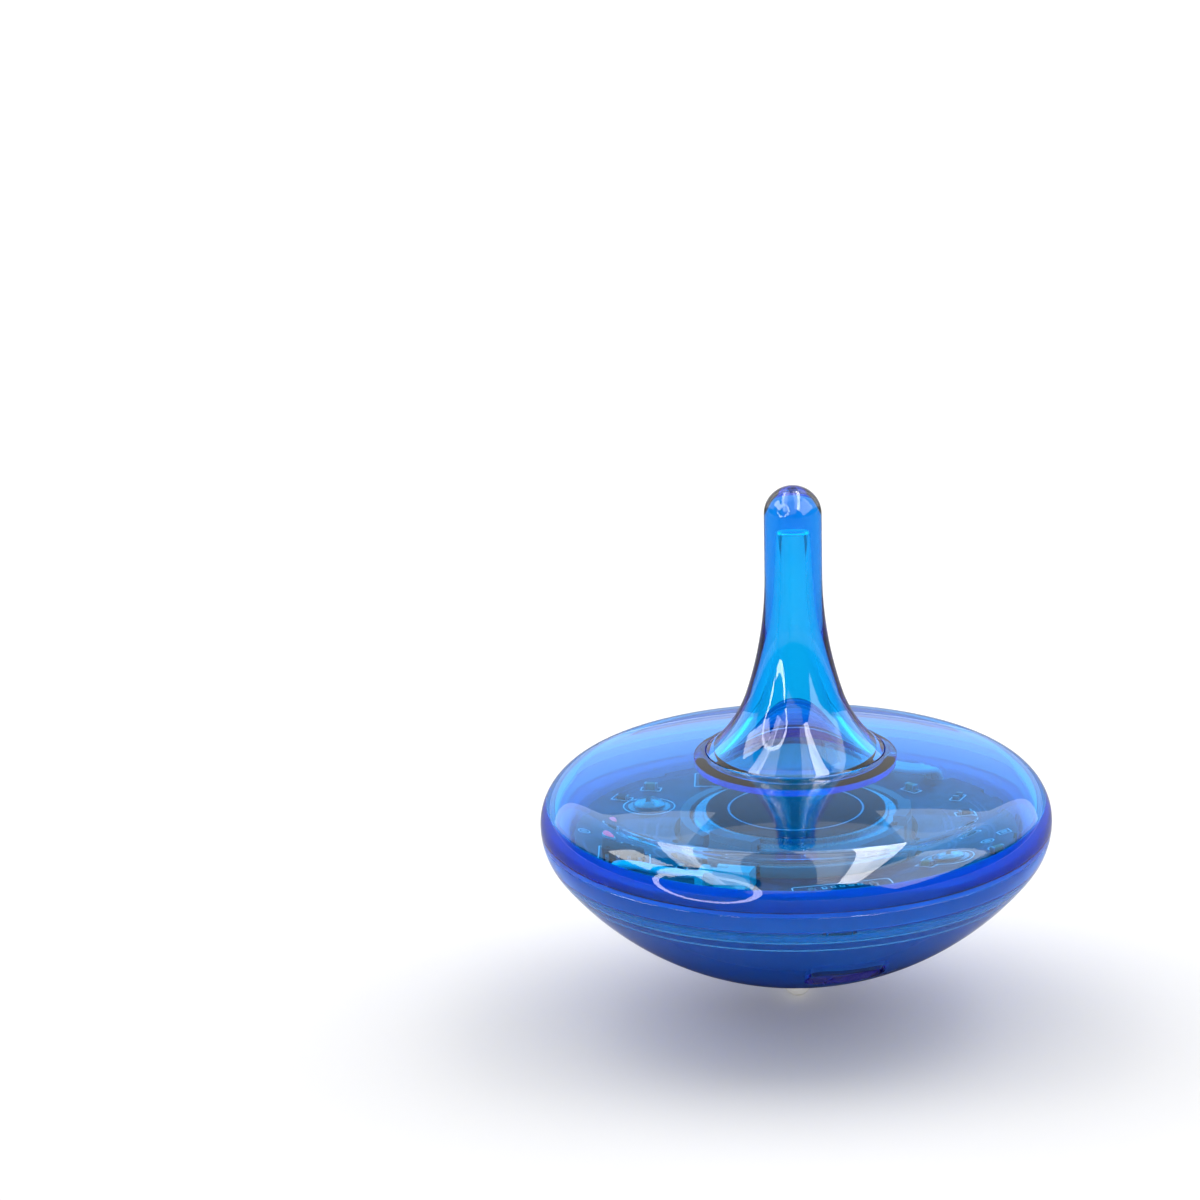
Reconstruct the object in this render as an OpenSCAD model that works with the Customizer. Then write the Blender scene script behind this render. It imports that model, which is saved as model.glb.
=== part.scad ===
// Electric spinning top: a clear two-piece case with a hollow finger stem, a drive tip on a
// motor shaft, a coin cell in a cradle and a ring-shaped circuit board.
// Millimetres, +Z up along the spin axis, origin at the point of the tip.

/* [Case] */
// Largest diameter of the case
case_d = 60; // [56:0.5:66]
// Radius of the bowl's round underside
bowl_r = 36; // [35:0.5:40]
// Radius of the rounding between the bowl and the widest line
bowl_rim_r = 8; // [7:0.25:9]
// Radius of the shallow dome on top
dome_r = 90; // [75:1:110]
// Radius of the rounding between the dome and the widest line
dome_rim_r = 5.8; // [5.2:0.1:6.6]
// Thickness of both shells
wall = 2; // [1.6:0.1:2.4]
// Depth of the seam below the widest line
seam_drop = 1.2; // [0.8:0.1:1.6]
// Height of the tongue that joins the shells
lap_h = 3.6; // [2.8:0.1:4.2]
// Thickness of the tongue
lap_t = 0.9; // [0.7:0.05:1.1]
// Thickness of the lower shell's lip at the foot of the tongue
lip_t = 0.95; // [0.8:0.05:1.2]
// How far the rim's solid root reaches above the widest line
root_up = 1.3; // [0.8:0.1:1.8]
// How far the rim's solid root reaches below the widest line
root_down = 1.2; // [0.8:0.1:1.6]
// Number of snap tabs round the tongue
snap_count = 4; // [3:1:6]
// Width of a snap tab
snap_w = 3; // [2.4:0.1:4]
// Width of the slits beside a snap tab
slit_w = 0.4; // [0.3:0.05:0.6]
// How far a snap tab's bead stands out
bead = 0.3; // [0.2:0.05:0.4]

/* [Finger stem] */
// Diameter of the grip
grip_d = 6.7; // [6:0.1:7.4]
// Length of the straight grip under its round end
grip_len = 7.25; // [5:0.25:10]
// Diameter of the stem's foot
foot_d = 20.9; // [19:0.1:22]
// Radius of the long flare under the grip
flare_r = 47; // [40:1:54]
// Angle at which the long flare hands over to the short one
flare_a = 17.8; // [16:0.2:20]
// Radius of the short flare above the foot
foot_flare_r = 15; // [13:0.5:18]
// Thickness of the stem's wall
stem_wall = 2.2; // [1.6:0.1:2.4]
// Solid length at the stem's top
stem_end = 5; // [4:0.25:7]
// Draft of the hollow's core above the flare
core_draft = 4.5; // [3.5:0.25:5.5]
// Depth of the socket that holds the foot
socket_depth = 1.8; // [1.4:0.1:2.4]
// Thickness of the socket that holds the foot
socket_wall = 1.2; // [0.9:0.1:1.5]
// Thickness of the socket's floor
socket_floor_t = 1.1; // [0.8:0.1:1.4]

/* [Drive tip] */
// Diameter of the tip
tip_d = 3.5; // [3:0.1:4]
// How far the tip stands out under the bowl
tip_out = 3.4; // [2.8:0.1:4.2]
// Diameter of the motor shaft
shaft_d = 2; // [1.5:0.1:2.4]
// Height of the shaft's lower end above the tip's point
shaft_lift = 2; // [1.5:0.1:2.5]
// Running gap round the tip where it leaves the bowl
tip_gap = 0.6; // [0.4:0.1:0.8]

/* [Motor] */
// Thickness of the pad under the motor
pad_t = 1.2; // [0.8:0.1:1.6]
// Diameter of the motor's base flange
flange_d = 15; // [14:0.2:16]
// Thickness of the base flange
flange_t = 1; // [0.8:0.1:1.2]
// Outer diameter of the bearings
bearing_d = 5; // [4.6:0.1:5.4]
// Height of each bearing
bearing_h = 2.5; // [2:0.1:2.8]
// Length between the two bearings
bearing_span = 2.8; // [2.2:0.1:3.4]
// Width of the shoulder that the bearings seat on
shoulder_w = 0.5; // [0.3:0.05:0.6]
// Wall of the bearing tube
tube_wall = 0.8; // [0.6:0.05:1]
// Outer diameter of the stator
stator_d = 16.4; // [15.6:0.2:17]
// Height of the stator's iron
stator_h = 2.6; // [2:0.1:3]
// Height of the iron above the flange
stator_lift = 2; // [1.9:0.1:2.4]
// Number of stator teeth
teeth = 9; // [9:3:9]
// Width of a tooth
tooth_w = 1.4; // [1.2:0.1:1.6]
// Depth of a tooth's head
head_t = 0.9; // [0.7:0.1:1.1]
// Thickness of the winding round a tooth
coil_t = 0.65; // [0.5:0.05:0.7]
// Gap between the stator and the magnets
air_gap = 0.3; // [0.25:0.05:0.5]
// Thickness of the magnets
magnet_t = 0.9; // [0.7:0.05:1.1]
// Height of the magnets
magnet_h = 3.4; // [2.8:0.1:3.8]
// Number of magnets
magnets = 12; // [10:2:14]
// Thickness of the rotor bell
bell_t = 0.8; // [0.6:0.05:1]
// Number of vent holes in the bell
vents = 6; // [4:1:8]
// Number of screws under the motor
motor_screw_count = 3; // [3:1:4]

/* [Battery] */
// Diameter of the coin cell
cell_d = 24.5; // [23:0.25:25.5]
// Height of the coin cell
cell_h = 5; // [4:0.1:5.4]
// Thickness of the foam pad under the cell
foam_t = 0.5; // [0.3:0.05:0.8]
// Thickness of the label on the cell
label_t = 0.12; // [0.08:0.02:0.2]
// Thickness of the cradle's wall
cradle_wall = 1.1; // [0.9:0.05:1.3]
// Thickness of the cradle's floor
cradle_floor_t = 0.9; // [0.7:0.05:1.1]
// Width of the cradle's legs
leg_w = 5; // [4:0.25:6]
// Thickness of the cradle's feet
cradle_foot_t = 1.2; // [0.9:0.1:1.5]
// Direction of the first of the three legs
leg_az = 70; // [66:1:74]

/* [Circuit board] */
// Thickness of the board
board_t = 1.6; // [1.2:0.1:1.8]
// Depth of the board's top below the widest line
board_drop = 1.68; // [1.2:0.02:2]
// Room between the board's edge and the tongue
board_room = 0.57; // [0.4:0.01:0.9]
// Room between the board and the cradle
board_hole_room = 0.7; // [0.5:0.05:1]
// Distance of the board's screws from its edge
screw_inset = 6.8; // [6.4:0.1:7.2]
// Direction of the first board screw, with the other opposite
screw_az = 155; // [152:1:158]
// Diameter of the posts under the board's screws
post_d = 4.8; // [4.2:0.1:5.2]
// Side of the wire sockets
conn_w = 4.15; // [3.8:0.05:4.5]
// Height of the wire sockets
conn_h = 2.8; // [2.4:0.1:3]
// Wall of the wire sockets
conn_wall = 0.5; // [0.4:0.05:0.6]
// Width of the plugs' flanges
plug_flange_w = 5.7; // [5:0.1:6]
// Length of the plugs between socket and flange
plug_neck = 1.1; // [0.8:0.1:1.4]
// Thickness of the plugs' flanges
plug_flange_t = 0.9; // [0.7:0.1:1.1]
// Diameter of the leads' insulation
lead_d = 0.8; // [0.7:0.05:0.9]
// Width of the charging port
port_w = 8.94; // [8.8:0.02:9]
// Thickness of the charging port
port_t = 3.26; // [3.2:0.02:3.4]
// Wall of the charging port's shell
port_wall = 0.3; // [0.25:0.05:0.4]
// Length of the charging port below the board
port_len = 7.6; // [7:0.1:8]
// Clearance round the charging port in the bowl
port_gap = 0.3; // [0.2:0.05:0.5]

/* [Fits] */
// Clearance between pieces that are pressed or glued together
fit_gap = 0.05; // [0.02:0.01:0.1]
// Clearance between the turning shaft and its bearings
run_fit = 0.03; // [0.02:0.01:0.06]
// Gap between the motor's turning pieces and what stands still
run_gap = 0.6; // [0.5:0.05:0.8]
// Diameter of the small screws' shanks
screw_d = 1.6; // [1.4:0.1:1.8]
// Height of the small screws' heads
screw_head_h = 0.8; // [0.6:0.1:0.9]

/* [Hidden] */
$fn = 96;
over = 1;
arc_overlap = 15;

// Case: centres of the arcs, and where they meet
case_r = case_d / 2;
rim_c = case_r - bowl_rim_r;
bowl_rise = sqrt(pow(bowl_r - bowl_rim_r, 2) - rim_c * rim_c);
equator_z = tip_out + bowl_r - bowl_rise;
bowl_c = equator_z + bowl_rise;
bowl_a = -atan2(bowl_rise, rim_c);
dome_rim_c = case_r - dome_rim_r;
dome_rise = sqrt(pow(dome_r - dome_rim_r, 2) - dome_rim_c * dome_rim_c);
dome_c = equator_z - dome_rise;
dome_a = atan2(dome_rise, dome_rim_c);
seam_z = equator_z - seam_drop;

// Height of the bowl's and the dome's surfaces, moved in by inset, at a radius
function bowl_z(r, inset = 0) = bowl_c - sqrt(pow(bowl_r - inset, 2) - r * r);
function dome_z(r, inset = 0) = dome_c + sqrt(pow(dome_r - inset, 2) - r * r);

// Radius of the bowl's outside at a height near the rim
function bowl_radius(z) = z > bowl_c + bowl_r * sin(bowl_a)
  ? rim_c + sqrt(pow(bowl_rim_r, 2) - pow(equator_z - z, 2))
  : sqrt(bowl_r * bowl_r - pow(bowl_c - z, 2));

// Lap joint between the shells
tongue_z = seam_z - lap_h;
rebate_z = tongue_z - fit_gap;
rebate_r = bowl_radius(rebate_z) - lip_t;
tongue_r = rebate_r - fit_gap;
tongue_in = tongue_r - lap_t;
snap_az = -80;
bead_z = tongue_z + lap_h / 3;
root_low = [tongue_in, equator_z - root_down];
root_high = [dome_rim_c + sqrt(pow(dome_rim_r - wall, 2) - root_up * root_up), equator_z + root_up];
root_bite = 0.05;

// Motor stack, upwards from the bowl's floor
shaft_r = shaft_d / 2;
tip_r = tip_d / 2;
seat_z = tip_out + wall + pad_t;
bearing_r = bearing_d / 2;
bearing_drop = 0.2;
lower_bearing_z = seat_z + bearing_drop;
shoulder_z = lower_bearing_z + bearing_h;
upper_bearing_z = shoulder_z + bearing_span;
tube_top = upper_bearing_z + bearing_h;
tube_r = bearing_r + fit_gap + tube_wall;
tip_top = lower_bearing_z - 2 * fit_gap;
tip_hole_r = tip_r + tip_gap;
flange_top = seat_z + flange_t;
stator_r = stator_d / 2;
stator_z = flange_top + stator_lift;
hub_t = 0.9;
hub_r = tube_r + fit_gap + hub_t;
head_in = stator_r - head_t;
magnet_out = stator_r + air_gap + magnet_t;
bell_in = magnet_out + fit_gap;
bell_r = bell_in + bell_t;
bell_low = flange_top + run_gap + lead_d / 2;
bell_under = tube_top + run_gap / 2;
bell_top = bell_under + bell_t;
motor_screw_r = (tube_r + flange_d / 2) / 2;
motor_screw_head_r = 1.1;
motor_screw_az = 100;
motor_pad_edge = 0.5;
coil_room = fit_gap + 0.02;
coil_start = hub_r + fit_gap;
coil_end = sqrt(pow(head_in - fit_gap, 2) - pow(tooth_w / 2 + coil_t, 2));
vent_l = 3.4;
vent_w = 2;
vent_r = (shaft_r + bell_in) / 2;
magnet_space_a = 1.5;

// Battery stack, on a cradle over the rotor
cell_r = cell_d / 2;
cradle_in = cell_r + 3 * fit_gap;
cradle_r = cradle_in + cradle_wall;
cradle_z = bell_top + run_gap;
cradle_floor = cradle_z + cradle_floor_t;
cell_z = cradle_floor + foam_t;
cell_top = cell_z + cell_h;
cell_cap_h = 0.4;
cell_step = 1.4;
cell_cap_r = cell_r - cell_step;
label_in = 0.4;
foam_in = 1;
leg_in = bell_r + run_gap;
leg_step = 120;
foot_room = 0.4;
foot_boss_wall = 1.4;
foot_lift = 0.7;
foot_r = cradle_r + screw_d + foot_room;
foot_boss_r = screw_d / 2 + foot_boss_wall;
foot_z = bowl_z(foot_r + foot_boss_r, wall) + foot_lift;
cradle_screw_head_r = 1.4;
clip_az = -5;
clip_w = 6;
clip_hook = 0.5;
clip_h = 0.7;
window_az = -150;
window_w = 6;

// Socket and stem
foot_rad = foot_d / 2;
grip_r = grip_d / 2;
socket_r = foot_rad + fit_gap;
foot_lip_z = dome_z(foot_rad);
socket_floor = foot_lip_z - socket_depth;
socket_z = socket_floor - socket_floor_t;
swap_r = grip_r + flare_r * (1 - cos(flare_a));
lip_a = acos(cos(flare_a) - (foot_rad - swap_r) / foot_flare_r);
swap_z = foot_lip_z + foot_flare_r * (sin(lip_a) - sin(flare_a));
flare_z = swap_z + flare_r * sin(flare_a);
flare_c = [grip_r + flare_r, flare_z];
foot_flare_c = flare_c - (flare_r - foot_flare_r) * [cos(flare_a), sin(flare_a)];
stem_top = flare_z + grip_len + grip_r;

// Board
board_r = tongue_in - board_room;
board_hole_r = cradle_r + board_hole_room;
board_top = equator_z - board_drop;
board_z = board_top - board_t;
screw_r = board_r - screw_inset;
board_screw_head_r = 1.9;
board_screw_head_h = 1.1;
screw_bite = 4;
ledge_az = 45;
ledge_w = 6;
ledge_h = 1;
ledge_reach = 0.6;
notch_w = 3.8;
notch_depth = 2.2;
motor_notch_az = 48;
battery_notch_az = -148;
edge_cuts = [[27, 3, 0.7], [-6, 2, 0.5], [130, 2.4, 0.6], [-125, 2, 0.5]];

// Wire sockets: distance from the board's edge, direction, and which way the plug leaves
motor_conn = [3.8, 72, -30];
battery_conn = [6.5, -111, 170];
plug_gap = 0.1;
plug_end = conn_w / 2 + plug_neck + plug_flange_t;
solder_foot = [1.2, 0.7, 0.9];
solder_foot_out = 0.25;

// Charging port under the board
port_inset = 6.2;
port_az = -74;
port_r = board_r - port_inset;
port_mouth = board_z - port_len;
port_base_h = 1.6;
tongue_w = 6.7;
tongue_t = 0.7;
tongue_back = 0.6;
tab_w = 0.9;
tab_t = 0.5;
tab_x = 3.6;
tab_gap = 0.15;

// Small parts on the board: distance from its edge, direction, turn
chip_at = [4.8, -159];
chip_l = 4.9;
chip_w = 3.9;
chip_h = 1.5;
chip_pins = 4;
chip_pitch = 1.27;
controller_at = [5.6, 118];
controller_w = 4;
controller_h = 0.85;
led_at = [4.4, 177];
resistors_at = [[1.9, -83, 20], [2.4, -58, 30], [1.2, -27, 60], [2.6, 152, 10], [4.2, 28, 40],
  [5.6, 12, 0], [8.4, 98, 90], [6.6, -176, 0]];
capacitors_at = [[1.5, -90, 70], [2.2, -64, 20], [1.6, -19, 50], [3.4, 140, 30], [6.8, 44, 90],
  [7.6, -36, 0], [8.8, -140, 45]];
resistor_size = [1.6, 0.8, 0.45];
capacitor_size = [1.6, 0.8, 0.8];
terminal_l = 0.3;
terminal_step = 0.03;
chip_mark_r = 0.25;
chip_mark_depth = 0.1;

// Leads: chosen points after the plug. Over the board: distance from its edge, direction, rise over
// its top. Under the rotor: distance from the bell's wall, direction, rise over the motor's flange.
// At the cell: distance from its wall, direction, rise over its underside
motor_over = [[4.15, 53, 1.4], [3.75, 49.8, 1.4], [3, 48, 1.4], [2.1, 48, 1.2], [1.2, 48, 0.5],
  [0.95, 48, -0.6], [1.2, 48, -2], [2.4, 48, -3.4], [5, 48, -5.1], [9, 48, -7.6]];
motor_under = [[3.6, 48, 2.7], [1.9, 48, 1.15], [0.8, 48, 0.5], [-0.4, 48, 0.2], [-1.8, 48, 0.3],
  [-3, 48, 0.65], [-4.4, 48, 0.7]];
battery_over = [[3.8, -133.5, 1.35], [2.75, -142, 1.25], [1.4, -147.5, 0.75], [1, -148, -0.5],
  [1.1, -148, -1.7], [1.9, -148, -2.7], [3.4, -148, -3.3], [6, -149, -3.4], [9.5, -149, -3]];
battery_at_cell = [[2.1, -149, 0.3], [0.2, -150, 0.7]];
lead_space = 0.12;
lead_pitch = lead_d + lead_space;
route_steps = 2;

blue = [0.05, 0.35, 0.9, 0.45];
white = [0.93, 0.94, 0.95];
metal = [0.75, 0.76, 0.78];
black = [0.08, 0.08, 0.09];

function polar(r, az) = r * [cos(az), sin(az)];
function unit(v) = v / norm(v);

// Shapes that repeat

module at(r, az, z = 0) {
  rotate(az) translate([r, 0, z]) children();
}

module disc(r, h, z = 0) {
  translate([0, 0, z]) cylinder(r = r, h = h);
}

// A hole that runs past both ends of what it goes through
module hole(r, h, z = 0) {
  translate([0, 0, z - over]) cylinder(r = r, h = h + 2 * over);
}

module block(size, z = 0) {
  translate([-size.x / 2, -size.y / 2, z]) cube(size);
}

// A slice of a disc, less than half a turn
module pie(c, r, a0, a1) {
  reach = 2 * r;
  intersection() {
    translate(c) circle(r);
    polygon([c, for (a = [a0, (a0 + a1) / 2, a1]) c + reach * [cos(a), sin(a)]]);
  }
}

// The part of a section between two heights
module band(z0, z1) {
  intersection() {
    union() children();
    translate([0, z0]) square([case_d, z1 - z0]);
  }
}

// A rounded slot: length along X
module pill(l, w) {
  for (x = [-1, 1]) translate([x * (l - w) / 2, 0]) circle(d = w);
  square([l - w, w], center = true);
}

module round_rect(w, h, r) {
  for (x = [-1, 1], y = [-1, 1]) translate([x * (w / 2 - r), y * (h / 2 - r)]) circle(r);
  square([w - 2 * r, h], center = true);
  square([w, h - 2 * r], center = true);
}

module ring_face(r_out, r_in) {
  difference() {
    circle(r_out);
    circle(r_in);
  }
}

// Pan-head screw standing with its seat at z = 0
module screw(head_r, head_h, shank_r, length) {
  rotate_extrude() {
    translate([0, -length]) square([shank_r, length]);
    difference() {
      intersection() {
        translate([0, head_h - 1.5 * head_r]) circle(1.5 * head_r);
        square([head_r, head_h]);
      }
      translate([0, head_h / 2]) square([head_r / 4, head_h]);
    }
  }
}

// Sections of the case, moved in by inset

module bowl_face(inset = 0) {
  pie([0, bowl_c], bowl_r - inset, -90, bowl_a);
  pie([rim_c, equator_z], bowl_rim_r - inset, bowl_a - arc_overlap, 0);
}

module dome_face(inset = 0) {
  pie([0, dome_c], dome_r - inset, dome_a, 90);
  pie([dome_rim_c, equator_z], dome_rim_r - inset, 0, dome_a + arc_overlap);
}

module upper_face(inset = 0) {
  band(seam_z, equator_z) bowl_face(inset);
  band(equator_z, stem_top) dome_face(inset);
}

module upper_shell() {
  color(blue) difference() {
    rotate_extrude() difference() {
      union() {
        difference() {
          upper_face();
          upper_face(wall);
        }
        polygon([[tongue_in, tongue_z], [tongue_r, tongue_z], [tongue_r, seam_z],
          [case_r - wall / 2, seam_z], [case_r - wall / 2, equator_z],
          root_high + root_bite * (root_high - root_low), root_low]);
        translate([tongue_r, bead_z]) circle(bead);
        translate([0, socket_z])
          square([socket_r + socket_wall, dome_z(socket_r + socket_wall, wall / 2) - socket_z]);
      }
      translate([0, socket_floor]) square([socket_r, stem_top]);
    }
    for (i = [0 : snap_count - 1], side = [-1, 1])
      rotate(snap_az + i * 360 / snap_count)
        translate([tongue_in - over, side * (snap_w + slit_w) / 2 - slit_w / 2, tongue_z - over])
          cube([lap_t + bead + 2 * over, slit_w, lap_h * 0.8 + over]);
    bead_gaps();
  }
}

// The bead is kept only on the snap tabs
module bead_gaps() {
  span = 360 / snap_count;
  keep = asin(snap_w / 2 / tongue_r);
  for (i = [0 : snap_count - 1])
    translate([0, 0, bead_z - bead - fit_gap]) linear_extrude(2 * bead + 2 * fit_gap)
      intersection() {
        ring_face(tongue_r + 2 * bead, tongue_r);
        for (k = [0, 1])
          pie([0, 0], 2 * case_r, snap_az + i * span + (k ? span / 2 : keep),
            snap_az + i * span + (k ? span - keep : span / 2));
      }
}

module lower_shell() {
  color(blue) difference() {
    union() {
      rotate_extrude() difference() {
        band(0, seam_z) bowl_face();
        band(0, seam_z + over) bowl_face(wall);
        translate([0, rebate_z]) square([rebate_r, lap_h + over]);
        translate([rebate_r, bead_z]) circle(bead + fit_gap);
      }
      intersection() {
        union() {
          disc(flange_d / 2 + fit_gap + motor_pad_edge, seat_z);
          board_post_places() disc(post_d / 2, board_z);
          foot_places() disc(foot_boss_r, foot_z);
        }
        rotate_extrude() band(0, seam_z) bowl_face(wall / 2);
      }
    }
    hole(tip_hole_r, seat_z);
    at(port_r, port_az) rotate(90) linear_extrude(board_z)
      pill(port_w + 2 * port_gap, port_t + 2 * port_gap);
    board_post_places() hole(screw_d / 2 + fit_gap, screw_bite + over, board_z - screw_bite);
    foot_places() hole(screw_d / 2 + fit_gap, over, foot_z - over);
    motor_screw_places() hole(screw_d / 2 + fit_gap, over, seat_z - over / 2);
  }
}

module board_post_places() {
  for (az = [screw_az, screw_az + 180]) at(screw_r, az) children();
}

module foot_places() {
  for (i = [0 : 2]) at(foot_r, leg_az + i * leg_step) children();
}

module motor_screw_places() {
  for (i = [0 : motor_screw_count - 1])
    at(motor_screw_r, motor_screw_az + i * 360 / motor_screw_count) children();
}

// Half section of the stem's two flares, moved in by inset, up to an angle on the long one
module flare_face(inset = 0, top_a = 0) {
  mid_z = flare_z - (flare_r + inset) * sin(flare_a);
  top_z = flare_z - (flare_r + inset) * sin(top_a);
  difference() {
    translate([0, mid_z - over]) square([swap_r, top_z - mid_z + over]);
    translate(flare_c) circle(flare_r + inset);
  }
  difference() {
    translate([0, socket_floor]) square([foot_rad - inset, mid_z - socket_floor]);
    translate(foot_flare_c) circle(foot_flare_r + inset);
  }
}

module stem_face() {
  flare_face();
  translate([0, swap_z]) square([grip_r, flare_z + grip_len - swap_z]);
  intersection() {
    translate([0, stem_top - grip_r]) circle(grip_r);
    translate([0, stem_top - 2 * grip_r]) square([grip_r, 2 * grip_r]);
  }
}

// The hollow follows the flares, then narrows along a drafted core
module hollow_face() {
  core = flare_c - (flare_r + stem_wall) * [cos(core_draft), sin(core_draft)];
  end_z = stem_top - stem_end;
  end_r = core.x - (end_z - core.y) * tan(core_draft);
  flare_face(stem_wall, core_draft);
  polygon([[0, core.y - over], [core.x, core.y - over], core, [end_r, end_z], [0, end_z]]);
}

module finger_stem() {
  color(blue) rotate_extrude() difference() {
    stem_face();
    hollow_face();
  }
}

module drive_tip() {
  color([0.93, 0.9, 0.8]) rotate_extrude() difference() {
    union() {
      intersection() {
        translate([0, tip_r]) circle(tip_r);
        square(tip_r);
      }
      translate([0, tip_r]) square([tip_r, tip_top - tip_r]);
    }
    translate([0, shaft_lift]) square([shaft_r + fit_gap, tip_top]);
  }
}

module motor_shaft() {
  color(metal) disc(shaft_r, bell_top - shaft_lift, shaft_lift);
}

// Shielded bearing: races stand out beyond a sunk shield on both faces
module bearing(z) {
  bore_r = shaft_r + run_fit;
  race = (bearing_r - bore_r) / 4;
  shield = bearing_h / 12;
  color(metal) translate([0, 0, z]) rotate_extrude() difference() {
    translate([bore_r, 0]) square([bearing_r - bore_r, bearing_h]);
    for (y = [-shield, bearing_h - shield])
      translate([bore_r + race, y]) square([2 * race, 2 * shield]);
  }
}

module lower_bearing() {
  bearing(lower_bearing_z);
}

module upper_bearing() {
  bearing(upper_bearing_z);
}

module motor_base() {
  color([0.8, 0.8, 0.82]) difference() {
    union() {
      disc(flange_d / 2, flange_t, seat_z);
      disc(tube_r, tube_top - seat_z, seat_z);
    }
    hole(bearing_r + fit_gap - shoulder_w, tube_top - seat_z, seat_z);
    hole(bearing_r + fit_gap, shoulder_z - seat_z - over, seat_z);
    disc(bearing_r + fit_gap, bearing_h + over, upper_bearing_z);
    motor_screw_places() hole(screw_d / 2 + fit_gap, flange_t, seat_z);
  }
}

module motor_screws() {
  color(metal) motor_screw_places() translate([0, 0, flange_top])
    screw(motor_screw_head_r, screw_head_h, screw_d / 2, flange_t + over);
}

module stator_core() {
  head_a = 360 / teeth * 0.4;
  color([0.35, 0.36, 0.38]) translate([0, 0, stator_z]) linear_extrude(stator_h) difference() {
    union() {
      circle(hub_r);
      for (i = [0 : teeth - 1]) rotate(i * 360 / teeth) {
        translate([0, -tooth_w / 2]) square([head_in + head_t / 2, tooth_w]);
        intersection() {
          ring_face(stator_r, head_in);
          pie([0, 0], stator_r * 2, -head_a, head_a);
        }
      }
    }
    circle(tube_r + fit_gap);
  }
}

// One rounded winding round each tooth
module stator_coils() {
  color([0.72, 0.4, 0.2]) for (i = [0 : teeth - 1]) rotate(i * 360 / teeth)
    translate([coil_start, 0, stator_z + stator_h / 2]) rotate([90, 0, 90])
      linear_extrude(coil_end - coil_start) difference() {
        round_rect(tooth_w + 2 * coil_t, stator_h + 2 * coil_t, coil_t * 0.8);
        square([tooth_w + 2 * coil_room, stator_h + 2 * coil_room], center = true);
      }
}

module rotor_bell() {
  color([0.6, 0.61, 0.64]) difference() {
    rotate_extrude() difference() {
      union() {
        translate([0, bell_under]) square([bell_r - bell_t / 2, bell_t]);
        translate([bell_in, bell_low]) square([bell_t, bell_under - bell_low]);
        translate([bell_in, bell_under]) pie([0, 0], bell_t, 0, 90);
      }
      translate([0, bell_low]) square([shaft_r + fit_gap, bell_top]);
    }
    for (i = [0 : vents - 1]) rotate(i * 360 / vents) translate([vent_r, 0, bell_under - over])
      linear_extrude(bell_t + 2 * over) pill(vent_l, vent_w);
  }
}

module rotor_magnets() {
  half = 180 / magnets - magnet_space_a;
  color([0.3, 0.3, 0.32]) for (i = [0 : magnets - 1])
    translate([0, 0, stator_z + stator_h / 2 - magnet_h / 2]) rotate(i * 360 / magnets)
      linear_extrude(magnet_h) intersection() {
        ring_face(magnet_out, magnet_out - magnet_t);
        pie([0, 0], magnet_out * 2, -half, half);
      }
}

// Cup on three legs: windows in its wall, hooks over the cell and ledges under the board
module battery_cradle() {
  rim_z = cell_top - cell_cap_h - fit_gap;
  step = cradle_wall / 10;
  color(white) difference() {
    union() {
      rotate_extrude() difference() {
        translate([cell_r / 2, cradle_z]) square([cradle_r - cell_r / 2, rim_z - cradle_z]);
        translate([0, cradle_floor]) square([cradle_in, cell_h * 2]);
      }
      layer(foot_z, cradle_z + cradle_floor_t / 2) three(leg_az) strip(leg_w)
        ring_face(cradle_r - step, leg_in);
      layer(foot_z, foot_z + cradle_foot_t) three(leg_az) foot_face();
      layer(min(board_z, rim_z) - ledge_h, board_z) three(ledge_az) strip(ledge_w)
        ring_face(board_hole_r + ledge_reach, cradle_r - cradle_wall / 2);
      three(clip_az) intersection() {
        rotate_extrude() difference() {
          translate([cradle_in - clip_hook, rim_z - over])
            square([cradle_wall + clip_hook - step, clip_h + over + 2 * fit_gap]);
          square([cradle_in + step, rim_z + 2 * fit_gap]);
        }
        translate([0, -clip_w / 2, 0]) cube([case_r, clip_w, stem_top]);
      }
    }
    layer(cradle_floor, cradle_floor + cell_h * 0.6) three(window_az) strip(window_w)
      ring_face(cradle_r + over, cradle_in - over);
    layer(cradle_floor + over, stem_top) clip_slits();
    foot_places() hole(screw_d / 2 + fit_gap, cradle_foot_t, foot_z);
  }
}

module layer(z0, z1) {
  translate([0, 0, z0]) linear_extrude(z1 - z0) children();
}

module three(az) {
  for (i = [0 : 2]) rotate(az + i * leg_step) children();
}

// The part of a face that lies in a strip of width w along +X
module strip(w) {
  intersection() {
    union() children();
    translate([0, -w / 2]) square([case_d, w]);
  }
}

module clip_slits() {
  slit = 1;
  three(clip_az) for (s = [-1, 1])
    translate([cradle_in - over, s * (clip_w + slit) / 2 - slit / 2]) square([cradle_wall + 2 * over, slit]);
}

module foot_face() {
  difference() {
    union() {
      translate([foot_r, 0]) circle(foot_boss_r);
      translate([0, -foot_boss_r]) square([foot_r, 2 * foot_boss_r]);
    }
    circle(leg_in + (cradle_r - leg_in) / 2);
  }
}

module cradle_screws() {
  color(metal) foot_places() translate([0, 0, foot_z + cradle_foot_t])
    screw(cradle_screw_head_r, screw_head_h, screw_d / 2, cradle_foot_t + over);
}

module battery_pad() {
  color([0.2, 0.2, 0.22]) disc(cell_r - foam_in, foam_t, cradle_floor);
}

// Crimped can with the smaller cap on top
module battery_cell() {
  edge = 0.5;
  shoulder = cell_top - cell_cap_h;
  color(metal) rotate_extrude() polygon([[0, cell_z], [cell_r - edge, cell_z], [cell_r, cell_z + edge],
    [cell_r, shoulder - edge], [cell_r - edge, shoulder], [cell_cap_r, shoulder],
    [cell_cap_r, cell_top - cell_cap_h / 4], [cell_cap_r - cell_cap_h / 4, cell_top], [0, cell_top]]);
}

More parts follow.
